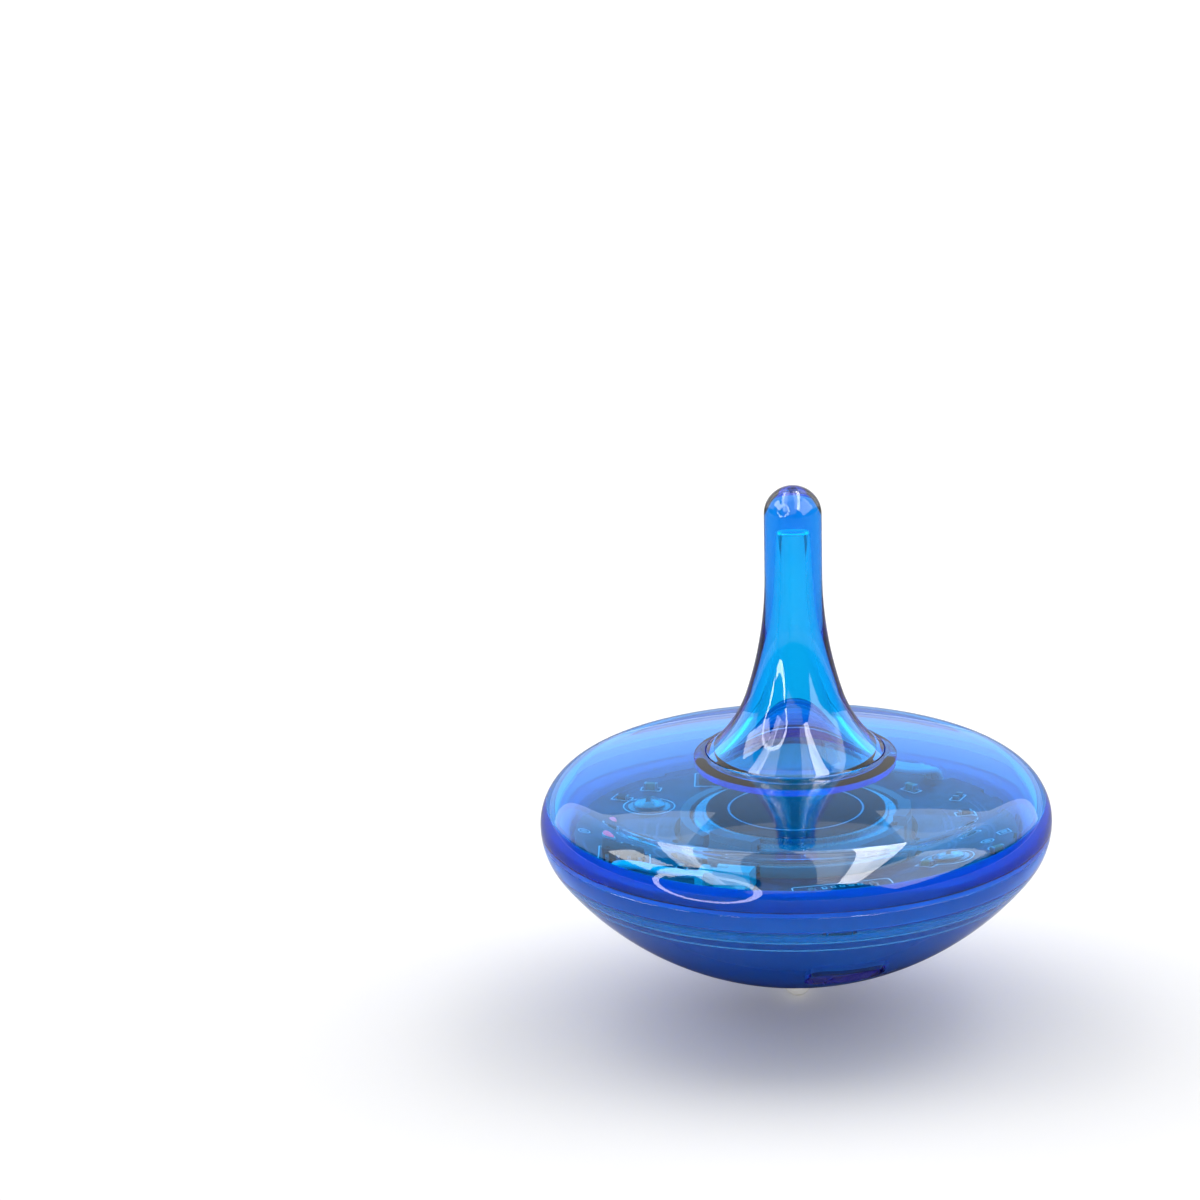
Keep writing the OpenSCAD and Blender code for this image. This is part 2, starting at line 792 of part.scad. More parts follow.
module battery_label() {
  color(white) disc(cell_cap_r - label_in, label_t, cell_top);
}

module circuit_board() {
  color([0.05, 0.08, 0.2]) translate([0, 0, board_z]) linear_extrude(board_t) difference() {
    ring_face(board_r, board_hole_r);
    board_post_places() circle(screw_d / 2 + 3 * fit_gap);
    for (az = [motor_notch_az, battery_notch_az])
      rotate(az) translate([board_r, 0]) pill(2 * notch_depth, notch_w);
    for (c = edge_cuts) rotate(c[0]) translate([board_r - c[2], -c[1] / 2]) square([2 * c[2], c[1]]);
    port_tab_places() square([tab_t + 2 * tab_gap, tab_w + 2 * tab_gap], center = true);
  }
}

module port_tab_places() {
  at(port_r, port_az) rotate(90) for (x = [-1, 1], y = [-1, 1])
    translate([x * tab_x, y * (port_t - tab_w) / 2]) children();
}

module board_screws() {
  color(metal) board_post_places() translate([0, 0, board_top])
    screw(board_screw_head_r, board_screw_head_h, screw_d / 2, board_t + screw_bite - fit_gap);
}

// Wire sockets and plugs: the plug leaves along +X

module on_board(inset, az, turn = 0) {
  at(board_r - inset, az, board_top) rotate(turn) children();
}

module conn_place(conn) {
  on_board(conn[0], conn[1], conn[2] - conn[1]) children();
}

module wire_socket() {
  latch = conn_w / 3;
  difference() {
    block([conn_w, conn_w, conn_h]);
    translate([conn_wall - conn_w / 2, conn_wall - conn_w / 2, conn_wall])
      cube([conn_w, conn_w - 2 * conn_wall, conn_h - 2 * conn_wall]);
    translate([conn_w / 2 - latch, -latch / 2, conn_h / 2]) cube([latch + over, latch, conn_h]);
  }
  for (s = [-1, 1]) translate([-conn_w / 4, s * (conn_w / 2 + solder_foot_out), 0]) block(solder_foot);
}

module wire_plug() {
  room = conn_wall + plug_gap;
  low = conn_wall + plug_gap;
  high = conn_h - 2 * low;
  translate([room - conn_w / 2, room - conn_w / 2, low])
    cube([conn_w - room + plug_neck, conn_w - 2 * room, high]);
  translate([conn_w / 2 + plug_neck, -plug_flange_w / 2, low]) cube([plug_flange_t, plug_flange_w, high]);
  translate([conn_w / 2 + plug_gap, -conn_w / 8, low]) cube([plug_neck, conn_w / 4, high + conn_wall / 2]);
}

module motor_socket() {
  color(white) conn_place(motor_conn) wire_socket();
}

module motor_plug() {
  color(white) conn_place(motor_conn) wire_plug();
}

module battery_socket() {
  color(white) conn_place(battery_conn) wire_socket();
}

module battery_plug() {
  color(white) conn_place(battery_conn) wire_plug();
}

// Leads: a smooth path through a plug's end and the chosen points, with the leads side by side

function over_board(points) = [for (p = points) let (q = polar(board_r - p[0], p[1]))
  [q.x, q.y, board_top + p[2]]];
function round_axis(points, r, z) = [for (p = points) let (q = polar(r + p[0], p[1])) [q.x, q.y, z + p[2]]];
function plug_point(conn, d) = let (p = polar(board_r - conn[0], conn[1]) + polar(plug_end + d, conn[2]))
  [p.x, p.y, board_top + conn_h / 2];
function spline_point(a, b, c, d, t) = 0.5 * (2 * b + (c - a) * t + (2 * a - 5 * b + 4 * c - d) * t * t
  + (3 * b - a - 3 * c + d) * t * t * t);
function smooth(p) = let (n = len(p) - 1) [for (i = [0 : n - 1], k = [0 : route_steps - 1])
  spline_point(p[max(i - 1, 0)], p[i], p[i + 1], p[min(i + 2, n)], k / route_steps), p[n]];
function along(p, i) = unit(p[min(i + 1, len(p) - 1)] - p[max(i - 1, 0)]);
function sides(p, i = 0, u = [0, 0, 0]) = i == len(p) ? [] :
  let (t = along(p, i), w = unit(i == 0 ? cross([0, 0, 1], t) : u - (u * t) * t))
  concat([w], sides(p, i + 1, w));
function beside(p, d) = let (u = sides(p)) [for (i = [0 : len(p) - 1]) p[i] + d * u[i]];

module tube(path, d, n = 8) {
  u = sides(path);
  last = len(path) - 1;
  points = [for (i = [0 : last]) let (v = cross(along(path, i), u[i]))
    for (k = [0 : n - 1]) path[i] + d / 2 * (cos(360 * k / n) * u[i] + sin(360 * k / n) * v)];
  walls = [for (i = [0 : last - 1], k = [0 : n - 1])
    let (a = i * n + k, b = i * n + (k + 1) % n) each [[a, a + n, b + n], [a, b + n, b]]];
  ends = [[for (k = [0 : n - 1]) k], [for (k = [n - 1 : -1 : 0]) last * n + k]];
  polyhedron(points, concat(walls, ends));
}

module leads(conn, route, count) {
  path = smooth(concat([for (i = [0 : 2]) plug_point(conn, i * lead_d)], route));
  for (i = [0 : count - 1]) tube(beside(path, (i - (count - 1) / 2) * lead_pitch), lead_d);
}

module motor_leads() {
  color([0.85, 0.87, 0.9]) leads(motor_conn,
    concat(over_board(motor_over), round_axis(motor_under, bell_r, flange_top)), 3);
}

module battery_leads() {
  color([0.85, 0.87, 0.9]) leads(battery_conn,
    concat(over_board(battery_over), round_axis(battery_at_cell, cell_r, cell_z)), 2);
}

// Upright port under the board: a rounded metal shell, with tabs through the board
module charging_port() {
  color(metal) {
    at(port_r, port_az, port_mouth) rotate(90) linear_extrude(port_len) difference() {
      pill(port_w, port_t);
      pill(port_w - 2 * port_wall, port_t - 2 * port_wall);
    }
    translate([0, 0, board_z - port_base_h]) linear_extrude(port_base_h + board_t)
      port_tab_places() square([tab_t, tab_w], center = true);
  }
}

module port_tongue() {
  room = port_wall + fit_gap;
  color(black) at(port_r, port_az) rotate(90) {
    translate([0, 0, board_z - port_base_h]) linear_extrude(port_base_h) difference() {
      pill(port_w - 2 * room, port_t - 2 * room);
      for (x = [-1, 1], y = [-1, 1]) translate([x * tab_x, y * (port_t - tab_w) / 2])
        square([tab_t + 2 * tab_gap, tab_w + 2 * tab_gap], center = true);
    }
    block([tongue_w, tongue_t, port_len - tongue_back - port_base_h / 2], port_mouth + tongue_back);
  }
}

// Eight-pin chip with bent pins on its long sides
module driver_chip() {
  lift = 0.15;
  pin_w = 0.42;
  pin_t = 0.2;
  toe = 0.6;
  reach = 1.05;
  color(black) on_board(chip_at[0], chip_at[1], -chip_at[1]) {
    block([chip_l, chip_w, chip_h - lift], lift);
    for (i = [0 : chip_pins - 1], s = [-1, 1]) translate([(i - (chip_pins - 1) / 2) * chip_pitch, 0, 0])
      scale([1, s, 1]) rotate([90, 0, 90]) translate([0, 0, -pin_w / 2]) linear_extrude(pin_w)
        polygon([[chip_w / 2 - pin_t, chip_h / 2], [chip_w / 2 + reach - toe, chip_h / 2],
          [chip_w / 2 + reach - toe, pin_t], [chip_w / 2 + reach, pin_t], [chip_w / 2 + reach, 0],
          [chip_w / 2 + reach - toe - pin_t, 0], [chip_w / 2 + reach - toe - pin_t, chip_h / 2 - pin_t],
          [chip_w / 2 - pin_t, chip_h / 2 - pin_t]]);
  }
}

module controller_chip() {
  color(black) on_board(controller_at[0], controller_at[1], -controller_at[1]) difference() {
    block([controller_w, controller_w, controller_h]);
    translate([controller_w / 3, controller_w / 3, controller_h - chip_mark_depth])
      cylinder(r = chip_mark_r, h = over);
  }
}

// Side-lit chip lamp: a base with a domed lens
module indicator_led() {
  lamp_w = 1.6;
  lamp_r = 0.7;
  base_h = 0.4;
  color([0.95, 0.2, 0.2]) on_board(led_at[0], led_at[1]) {
    block([lamp_w, lamp_w / 2 + lamp_r / 2, base_h]);
    translate([0, 0, base_h]) rotate_extrude() intersection() {
      circle(lamp_r);
      square(lamp_r);
    }
  }
}

// Chip part: a body between two slightly larger end caps
module chip_part(size) {
  block([size.x - terminal_l, size.y - 2 * terminal_step, size.z - 2 * terminal_step], terminal_step);
  for (s = [-1, 1]) translate([s * (size.x - terminal_l) / 2, 0, 0]) block([terminal_l, size.y, size.z]);
}

module chip_resistors() {
  color(black) for (p = resistors_at) on_board(p[0], p[1], p[2]) chip_part(resistor_size);
}

module chip_capacitors() {
  color([0.75, 0.68, 0.55]) for (p = capacitors_at) on_board(p[0], p[1], p[2]) chip_part(capacitor_size);
}

upper_shell();
lower_shell();
finger_stem();
drive_tip();
motor_shaft();
lower_bearing();
upper_bearing();
motor_base();
motor_screws();
stator_core();
stator_coils();
rotor_bell();
rotor_magnets();
battery_cradle();
cradle_screws();
battery_pad();
battery_cell();
battery_label();
circuit_board();
board_screws();
motor_socket();
motor_plug();
motor_leads();
battery_socket();
battery_plug();
battery_leads();
charging_port();
port_tongue();
driver_chip();
controller_chip();
indicator_led();
chip_resistors();
chip_capacitors();
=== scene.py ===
"""Looks of an electric spinning top: clear blue shells and a finger stem round a motor, a coin cell and a
ring-shaped circuit board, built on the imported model. Metres, +Z up along the spin axis."""

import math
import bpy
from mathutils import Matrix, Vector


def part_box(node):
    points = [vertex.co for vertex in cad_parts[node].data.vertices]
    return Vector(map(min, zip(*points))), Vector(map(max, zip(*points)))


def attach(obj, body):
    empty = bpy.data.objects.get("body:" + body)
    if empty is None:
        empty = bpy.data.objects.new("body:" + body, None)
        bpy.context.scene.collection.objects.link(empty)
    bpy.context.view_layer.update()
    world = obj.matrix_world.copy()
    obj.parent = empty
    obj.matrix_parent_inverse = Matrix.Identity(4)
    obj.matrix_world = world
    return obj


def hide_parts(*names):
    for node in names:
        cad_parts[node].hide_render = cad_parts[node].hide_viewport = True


bl_info = {
    "name": "Electric spinning top",
    "version": (1, 0, 0),
    "blender": (4, 5, 0),
    "location": "View3D > Sidebar > Spinning top",
    "description": "Dresses the model of a clear electric spinning top and sets up its studio",
    "category": "Object",
}

from contextlib import contextmanager
from functools import cache
from types import SimpleNamespace

import bmesh
import bpy
from bpy.props import FloatProperty, FloatVectorProperty, IntProperty, PointerProperty
from mathutils import Matrix, Vector

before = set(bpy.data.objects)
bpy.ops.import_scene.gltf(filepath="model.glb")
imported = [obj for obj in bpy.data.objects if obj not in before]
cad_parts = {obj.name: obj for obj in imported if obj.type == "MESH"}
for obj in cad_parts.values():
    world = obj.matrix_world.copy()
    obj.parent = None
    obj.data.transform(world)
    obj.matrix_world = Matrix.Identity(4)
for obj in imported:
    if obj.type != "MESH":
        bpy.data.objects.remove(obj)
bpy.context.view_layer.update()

MM = 0.001
NEAR = 0.002 * MM
WHITE = (1.0, 1.0, 1.0, 1.0)
BLACK = (0.0, 0.0, 0.0, 1.0)
STEM_RING = "stem_ring_lamp"
RIM_RING = "rim_ring_lamp"


def low(node):
    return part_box(node)[0]


def high(node):
    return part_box(node)[1]


# Places of the pieces inside: distances in metres, directions in degrees round the axis

BOARD_RADIUS = high("circuit_board").y
BOARD_TOP = high("circuit_board").z
SCREW_RADIUS = BOARD_RADIUS - 6.8 * MM
BOARD_SCREWS = (155, -25)
FOOT_RADIUS = 15.5 * MM
FOOT_SCREWS = (70, 190, 310)
MOTOR_SCREW_RADIUS = 5.425 * MM
MOTOR_SCREWS = (100, 220, 340)
FLANGE_TOP = low("motor_base").z + 1 * MM
PORT_RADIUS = BOARD_RADIUS - 6.2 * MM
PORT_TURN = -74
DRIVER_CHIP = (BOARD_RADIUS - 4.8 * MM, -159)
CONTROLLER_CHIP = (BOARD_RADIUS - 5.6 * MM, 118)


def polar(r, turn, z=0.0):
    way = math.radians(turn)
    return Vector((r * math.cos(way), r * math.sin(way), z))


def standing(r, turn, z, spin=0.0):
    """Place of a piece at a radius and direction, with its own X turned by spin degrees."""
    return Matrix.Translation(polar(r, turn, z)) @ Matrix.Rotation(math.radians(spin), 4, "Z")


# Sizes and colours that a user would change


def length(name, description, default):
    return FloatProperty(name=name, description=description, default=default, unit="LENGTH", precision=5)


def angle(name, description, degrees):
    return FloatProperty(name=name, description=description, default=math.radians(degrees), unit="ROTATION")


def number(name, description, default):
    return FloatProperty(name=name, description=description, default=default)


def colour(name, description, default):
    return FloatVectorProperty(
        name=name, description=description, default=default, size=3, subtype="COLOR", min=0, max=1
    )


class TopCase(bpy.types.PropertyGroup):
    """Sizes of the two shells"""

    radius: length("Case radius", "Largest radius of the case", high("upper_shell").x)
    bowl_bottom: length("Bowl height", "Height of the bowl's lowest point over the tip's point", 3.4 * MM)
    bowl_radius: length("Bowl radius", "Radius of the bowl's round underside", 36 * MM)
    bowl_rim: length("Bowl rim", "Radius of the rounding from the bowl to the widest line", 8 * MM)
    dome_radius: length("Dome radius", "Radius of the shallow dome", 90 * MM)
    dome_rim: length("Dome rim", "Radius of the rounding from the dome to the widest line", 5.8 * MM)
    wall: length("Wall", "Thickness of both shells", 2 * MM)
    seam: length("Seam", "Height of the seam between the shells", high("lower_shell").z)
    tongue_low: length("Tongue", "Height of the tongue's lower edge", low("upper_shell").z)
    tongue_out: length("Tongue radius", "Outer radius of the tongue", 27.36 * MM)
    tongue_wall: length("Tongue wall", "Thickness of the tongue", 0.9 * MM)
    lap_gap: length("Lap gap", "Clearance round the tongue", 0.05 * MM)
    tip_hole: length("Tip hole", "Radius of the hole that the tip comes out of", 2.35 * MM)
    motor_pad: length("Motor pad", "Radius of the pad under the motor", 8.05 * MM)
    socket_bore: length("Socket bore", "Radius of the socket that holds the stem", 10.5 * MM)
    socket_wall: length("Socket wall", "Thickness of the socket", 1.2 * MM)
    socket_floor: length("Socket floor", "Thickness of the socket's floor", 1.1 * MM)
    root_up: length("Root top", "How far the rim's solid root reaches above the widest line", 1.3 * MM)
    root_down: length("Root foot", "How far the rim's solid root reaches below the widest line", 1.2 * MM)
    bead: length("Snap bead", "How far a snap tab's bead stands out", 0.3 * MM)
    bead_rise: length("Bead height", "Height of the bead over the tongue's lower edge", 1.2 * MM)
    tab: length("Snap tab", "Width of a snap tab", 3 * MM)
    slit: length("Tab slit", "Width of the slits beside a snap tab", 0.4 * MM)
    slit_height: length("Slit height", "Height of the slits beside a snap tab", 2.88 * MM)
    tabs: IntProperty(name="Snap tabs", description="Number of snap tabs", default=4, min=1)
    tab_angle: angle("First tab", "Direction of the first snap tab", -80)
    post: length("Post", "Radius of the posts under the board's screws", 2.4 * MM)
    boss: length("Boss", "Radius of the bosses under the cradle's feet", 2.2 * MM)
    screw_hole: length("Screw hole", "Radius of the holes for the small screws", 0.85 * MM)
    port_slot: FloatVectorProperty(
        name="Port slot", description="Length and width of the slot under the charging port", size=2,
        default=(9.54 * MM, 3.86 * MM), unit="LENGTH"
    )
    softness: length("Edge softness", "Rounding of the moulded edges", 0.12 * MM)
    steps: IntProperty(name="Steps", description="Faces round the turned pieces", default=240, min=48)


class TopStem(bpy.types.PropertyGroup):
    """Sizes of the finger stem"""

    grip: length("Grip radius", "Radius of the straight grip", 3.35 * MM)
    grip_length: length("Grip length", "Length of the straight grip under its round end", 7.25 * MM)
    flare: length("Long flare", "Radius of the long flare under the grip", 47 * MM)
    flare_angle: angle("Flare angle", "Where the long flare hands over to the short one", 17.8)
    foot_flare: length("Short flare", "Radius of the short flare above the foot", 15 * MM)
    wall: length("Stem wall", "Thickness of the stem's wall", 1.85 * MM)
    solid_end: length("Solid end", "Solid length at the stem's top", 5 * MM)
    draft: angle("Core draft", "Draft of the hollow above the flare", 2.0)
    depth: length("Socket depth", "How deep the stem's foot sits in the dome", 1.8 * MM)


class TopColours(bpy.types.PropertyGroup):
    """Colours of the finishes"""

    tint: colour("Tint", "What the clear plastic lets through over one tint depth", (0.12, 0.908, 0.989))
    tint_density: number("Tint density", "How fast the clear plastic takes light away, per metre", 2500)
    frost: colour("Frost", "Textured faces where the shells meet and inside the bowl", (0.1, 0.52, 1.0))
    tip: colour("Tip", "Pale nylon of the drive tip", (0.9, 0.88, 0.82))
    board: colour("Board", "Solder mask on the circuit board", (0.012, 0.028, 0.06))
    ink: colour("Ink", "Printed marks on the circuit board", (0.85, 0.88, 0.9))
    connector: colour("Connector", "Nylon of the sockets and plugs", (0.82, 0.80, 0.72))
    cradle: colour("Cradle", "Moulded plastic of the battery cradle", (0.25, 0.26, 0.27))
    lead: colour("Lead", "Insulation of the leads", (0.8, 0.8, 0.8))
    lamp: colour("Lamp", "Red of the indicator lamp", (1.0, 0.04, 0.05))


class TopStage(bpy.types.PropertyGroup):
    """Studio round the top"""

    camera_place: FloatVectorProperty(
        name="Camera", description="Place of the camera", default=(0.0, -0.6744, 0.2659), unit="LENGTH"
    )
    pitch: angle("Pitch", "How far the camera looks down", 17.795)
    yaw: angle("Yaw", "How far the camera looks to the left of the top", 1.909)
    roll: angle("Roll", "How far the camera leans", -1.187)
    lens: FloatProperty(name="Lens", description="Focal length", default=183.0, unit="CAMERA")
    ambient: number("Ambient", "Light from the white surroundings", 0.6)
    sides: number("Sides", "Light added from the left and the right", 0.8)
    inside: number("Inside", "Light that reaches the pieces inside", 2.4)
    front_gloss: number("Front", "What glossy pieces mirror in front", 0.06)
    front_clear: number("Through", "What clear pieces show in front", 0.3)
    back_gloss: number("Back", "What glossy pieces mirror behind", 0.9)
    floor_colour: colour("Floor", "Colour of the floor", (0.9, 0.9, 0.9))
    floor_glow: number("Floor glow", "White added where the floor is seen", 0.05)


# Modelling by operators


def deselect():
    if bpy.context.mode != "OBJECT":
        bpy.ops.object.mode_set(mode="OBJECT")
    bpy.ops.object.select_all(action="DESELECT")


def activate(piece):
    deselect()
    piece.select_set(True)
    bpy.context.view_layer.objects.active = piece


@contextmanager
def editing(piece, kind="VERT"):
    activate(piece)
    bpy.ops.object.mode_set(mode="EDIT")
    bpy.ops.mesh.select_mode(type=kind)
    yield
    bpy.ops.object.mode_set(mode="OBJECT")


def pick(piece, kind, test):
    """Selects, in edit mode, the vertices, edges or faces whose corners all pass a test of their place."""
    mesh = bmesh.from_edit_mesh(piece.data)
    bpy.ops.mesh.select_all(action="DESELECT")
    for item in getattr(mesh, kind):
        corners = [item] if kind == "verts" else item.verts
        item.select_set(all(test(corner.co) for corner in corners))
    bmesh.update_edit_mesh(piece.data)


def select_all():
    bpy.ops.mesh.select_all(action="SELECT")


def merge_doubles():
    select_all()
    bpy.ops.mesh.remove_doubles(threshold=NEAR)


def hollow(piece, line):
    """Leaves only a line along the edge of a flat piece."""
    with editing(piece, "FACE"):
        select_all()
        bpy.ops.mesh.inset(thickness=line)
        bpy.ops.mesh.delete(type="FACE")


def settle(piece):
    """Moves the place, turn and scale of a piece into its mesh."""
    activate(piece)
    bpy.ops.object.transform_apply(location=True, rotation=True, scale=True)


def added(name):
    """The piece that an operator has just added, named and settled."""
    piece = bpy.context.object
    piece.name = name
    settle(piece)
    return piece


def modify(piece, kind, **settings):
    activate(piece)
    modifier = piece.modifiers.new(kind.title(), kind)
    for key, value in settings.items():
        setattr(modifier, key, value)
    bpy.ops.object.modifier_apply(modifier=modifier.name)


def seat(piece, finish, slot, *nodes, body="case", smooth=30):
    """Fixes a finished piece in the frame: its place goes into its mesh, and it rides on a body."""
    settle(piece)
    bpy.ops.object.shade_smooth_by_angle(angle=math.radians(smooth))
    piece.data.materials.clear()
    piece.data.materials.append(finish)
    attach(piece, body)
    if nodes:
        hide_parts(*nodes)


def joined(name, parts):
    """Joins loose parts into one piece."""
    deselect()
    for part in parts:
        part.select_set(True)
    bpy.context.view_layer.objects.active = parts[0]
    bpy.ops.object.join()
    parts[0].name = name
    return parts[0]


def copied(name, model, places):
    """Copies a model, each copy with its own mesh, to its places and joins the copies."""
    parts = []
    for place in places:
        activate(model)
        bpy.ops.object.duplicate()
        bpy.context.object.matrix_world = place @ model.matrix_world
        parts.append(bpy.context.object)
    bpy.data.objects.remove(model)
    return joined(name, parts)


def carve(piece, tool, operation="DIFFERENCE"):
    """Cuts a tool out of a piece, or joins it on, and throws the tool away."""
    modify(piece, "BOOLEAN", operation=operation, object=tool, solver="EXACT")
    bpy.data.objects.remove(tool)


def block(name, size, place=(0, 0, 0), edge=0.0):
    """A box with rounded edges, standing on its place."""
    deselect()
    centre = Vector(place) + Vector((0, 0, size[2] / 2))
    bpy.ops.mesh.primitive_cube_add(size=1, location=centre, scale=size)
    piece = added(name)
    if edge:
        modify(piece, "BEVEL", width=edge, segments=2)
    return piece


def rod(name, r, z0, z1, steps=32):
    deselect()
    middle = (0, 0, (z0 + z1) / 2)
    bpy.ops.mesh.primitive_cylinder_add(vertices=steps, radius=r, depth=z1 - z0, location=middle)
    return added(name)


def flat_disc(name, r, steps, place=(0, 0, 0), turn=(0, 0, 0)):
    deselect()
    bpy.ops.mesh.primitive_circle_add(
        vertices=steps, radius=r, fill_type="NGON", location=place, rotation=turn
    )
    return added(name)


def flat_plate(name, size, place=(0, 0, 0)):
    deselect()
    bpy.ops.mesh.primitive_plane_add(size=1, location=place)
    bpy.context.object.scale = (*size, 1)
    return added(name)


def soften(piece, width, sharp):
    """Rounds the edges of a piece that are sharper than an angle in degrees."""
    limit = math.radians(sharp)
    modify(piece, "BEVEL", width=width, segments=2, limit_method="ANGLE", angle_limit=limit)


class Pen:
    """Draws a half section in the XZ plane: one vertex, extruded along lines and spun along arcs."""

    def __init__(self, name, r, z):
        self.piece = flat_plate(name, (MM, MM))
        bpy.ops.object.mode_set(mode="EDIT")
        bpy.ops.mesh.select_mode(type="VERT")
        select_all()
        bpy.ops.mesh.merge(type="CENTER")
        bpy.ops.transform.translate(value=(r, 0, z))
        self.r = r
        self.z = z
        self.start = (r, z)

    def line(self, r, z):
        move = (r - self.r, 0, z - self.z)
        bpy.ops.mesh.extrude_vertices_move(TRANSFORM_OT_translate={"value": move})
        self.r = r
        self.z = z
        return self

    def arc(self, centre, degrees, steps):
        """Turns about a centre, with a positive angle from the radius towards the axis."""
        turn = math.radians(degrees)
        bpy.ops.mesh.spin(steps=steps, angle=turn, center=(centre[0], 0, centre[1]), axis=(0, 1, 0))
        out = self.r - centre[0]
        up = self.z - centre[1]
        self.r = centre[0] + out * math.cos(turn) - up * math.sin(turn)
        self.z = centre[1] + out * math.sin(turn) + up * math.cos(turn)
        mesh = bmesh.from_edit_mesh(self.piece.data)
        ends = [vertex.co for vertex in mesh.verts if vertex.select]
        if len(ends) != 1 or (ends[0] - Vector((self.r, 0, self.z))).length > NEAR:
            raise RuntimeError(f"{self.piece.name}: an arc missed its end")
        return self

    def close(self):
        return self.line(*self.start)

    def revolve(self, steps):
        """Spins the section round the axis into a closed skin."""
        merge_doubles()
        bpy.ops.mesh.spin(steps=steps, angle=2 * math.pi, center=(0, 0, 0), axis=(0, 0, 1))
        merge_doubles()
        bpy.ops.mesh.normals_make_consistent(inside=False)
        bpy.ops.object.mode_set(mode="OBJECT")
        return self.piece


def soften_ring(piece, r, z, width):
    """Rounds the ring-shaped edge at a radius and height of a turned piece."""
    with editing(piece, "EDGE"):
        pick(piece, "edges", lambda p: abs(math.hypot(p.x, p.y) - r) < NEAR and abs(p.z - z) < NEAR)
        bpy.ops.mesh.bevel(offset=width, offset_type="OFFSET", segments=3, affect="EDGES")


# Materials


class Term:
    """One output of a node, so that shader maths reads as a Python expression."""

    def __init__(self, nodes, node, output):
        self.nodes = nodes
        self.node = node
        self.socket = node.outputs[output]

    def part(self, output):
        return Term(self.nodes, self.node, output)

    def math(self, operation, first, second):
        return self.nodes.node("ShaderNodeMath", {"operation": operation}, {0: first, 1: second})

    def __add__(self, other):
        return self.math("ADD", self, other)

    def __sub__(self, other):
        return self.math("SUBTRACT", self, other)

    def __rsub__(self, other):
        return self.math("SUBTRACT", other, self)

    def __mul__(self, other):
        return self.math("MULTIPLY", self, other)

    def __gt__(self, other):
        return self.math("GREATER_THAN", self, other)

    def __lt__(self, other):
        return self.math("LESS_THAN", self, other)

    def __or__(self, other):
        return self.math("MAXIMUM", self, other)

    def between(self, lowest, highest):
        return (self > lowest) * (self < highest)

    __radd__ = __add__
    __rmul__ = __mul__


class Nodes:
    """A node tree and one way to add to it."""

    def __init__(self, tree):
        self.tree = tree

    def feed(self, socket, value):
        if isinstance(value, Term):
            self.tree.links.new(value.socket, socket)
        else:
            socket.default_value = value

    def node(self, kind, settings=None, sockets=None, output=0):
        node = self.tree.nodes.new(kind)
        for key, value in (settings or {}).items():
            setattr(node, key, value)
        for key, value in (sockets or {}).items():
            self.feed(node.inputs[key], value)
        return Term(self, node, output)

    def blend(self, share, first, second):
        sockets = {0: share, 6: first, 7: second}
        return self.node("ShaderNodeMix", {"data_type": "RGBA"}, sockets, output=2)

    def hypot(self, first, second):
        return self.node("ShaderNodeMath", {"operation": "SQRT"}, {0: first * first + second * second})

    def ramp(self, value, span, ends):
        """A soft change from one end to the other over a span."""
        sockets = {"Value": value, "From Min": span[0], "From Max": span[1]}
        sockets.update({"To Min": ends[0], "To Max": ends[1]})
        return self.node("ShaderNodeMapRange", {"interpolation_type": "SMOOTHSTEP"}, sockets)


class Finish(Nodes):
    """A material on Object coordinates, round a Principled shader."""

    def __init__(self, name):
        self.material = bpy.data.materials.new(name)
        self.material.use_nodes = True
        super().__init__(self.material.node_tree)
        self.shader = self.tree.nodes["Principled BSDF"]
        self.place = self.node("ShaderNodeTexCoord", output="Object")

    def shade(self, **sockets):
        for name, value in sockets.items():
            self.feed(self.shader.inputs[name.replace("_", " ").title().replace("Ior", "IOR")], value)
        return self.material

    def noise(self, size, detail=3.0, stretch=(1, 1, 1)):
        """Soft noise with features about one size across."""
        place = self.node("ShaderNodeMapping", None, {"Vector": self.place, "Scale": stretch})
        return self.node("ShaderNodeTexNoise", None, {"Vector": place, "Scale": 1 / size, "Detail": detail})

    def bump(self, height, depth):
        return self.node("ShaderNodeBump", None, {"Height": height, "Strength": 1.0, "Distance": depth})

    def axis(self, output):
        return self.node("ShaderNodeSeparateXYZ", None, {"Vector": self.place}, output=output)

    def out(self):
        """Distance from the spin axis."""
        return self.hypot(self.axis("X"), self.axis("Y"))


def rgba(colour):
    return (*colour, 1.0)


def colours():
    return bpy.context.scene.top_colours


def joint_faces(out, height):
    """One on the faces where the shells meet: the seam, the lap, the tongue's end and the rim's root."""
    case = bpy.context.scene.top_case
    near = 0.07 * MM
    clear_edge = 0.3 * MM
    root_reach = 0.5 * MM
    equator = case_arcs().equator
    seam = height.between(case.seam - near, case.seam + near) * (out < case.radius - clear_edge)
    end = height.between(case.tongue_low - near, case.tongue_low + near)
    lap = out.between(case.tongue_out - near, case.tongue_out + case.lap_gap + near) * (height < case.seam)
    root = height.between(equator - case.root_down - near, equator + case.root_up + near)
    root = root * (out < case.tongue_out + root_reach)
    return (seam | end | lap | root) * (out > case.tongue_out - case.tongue_wall - near)


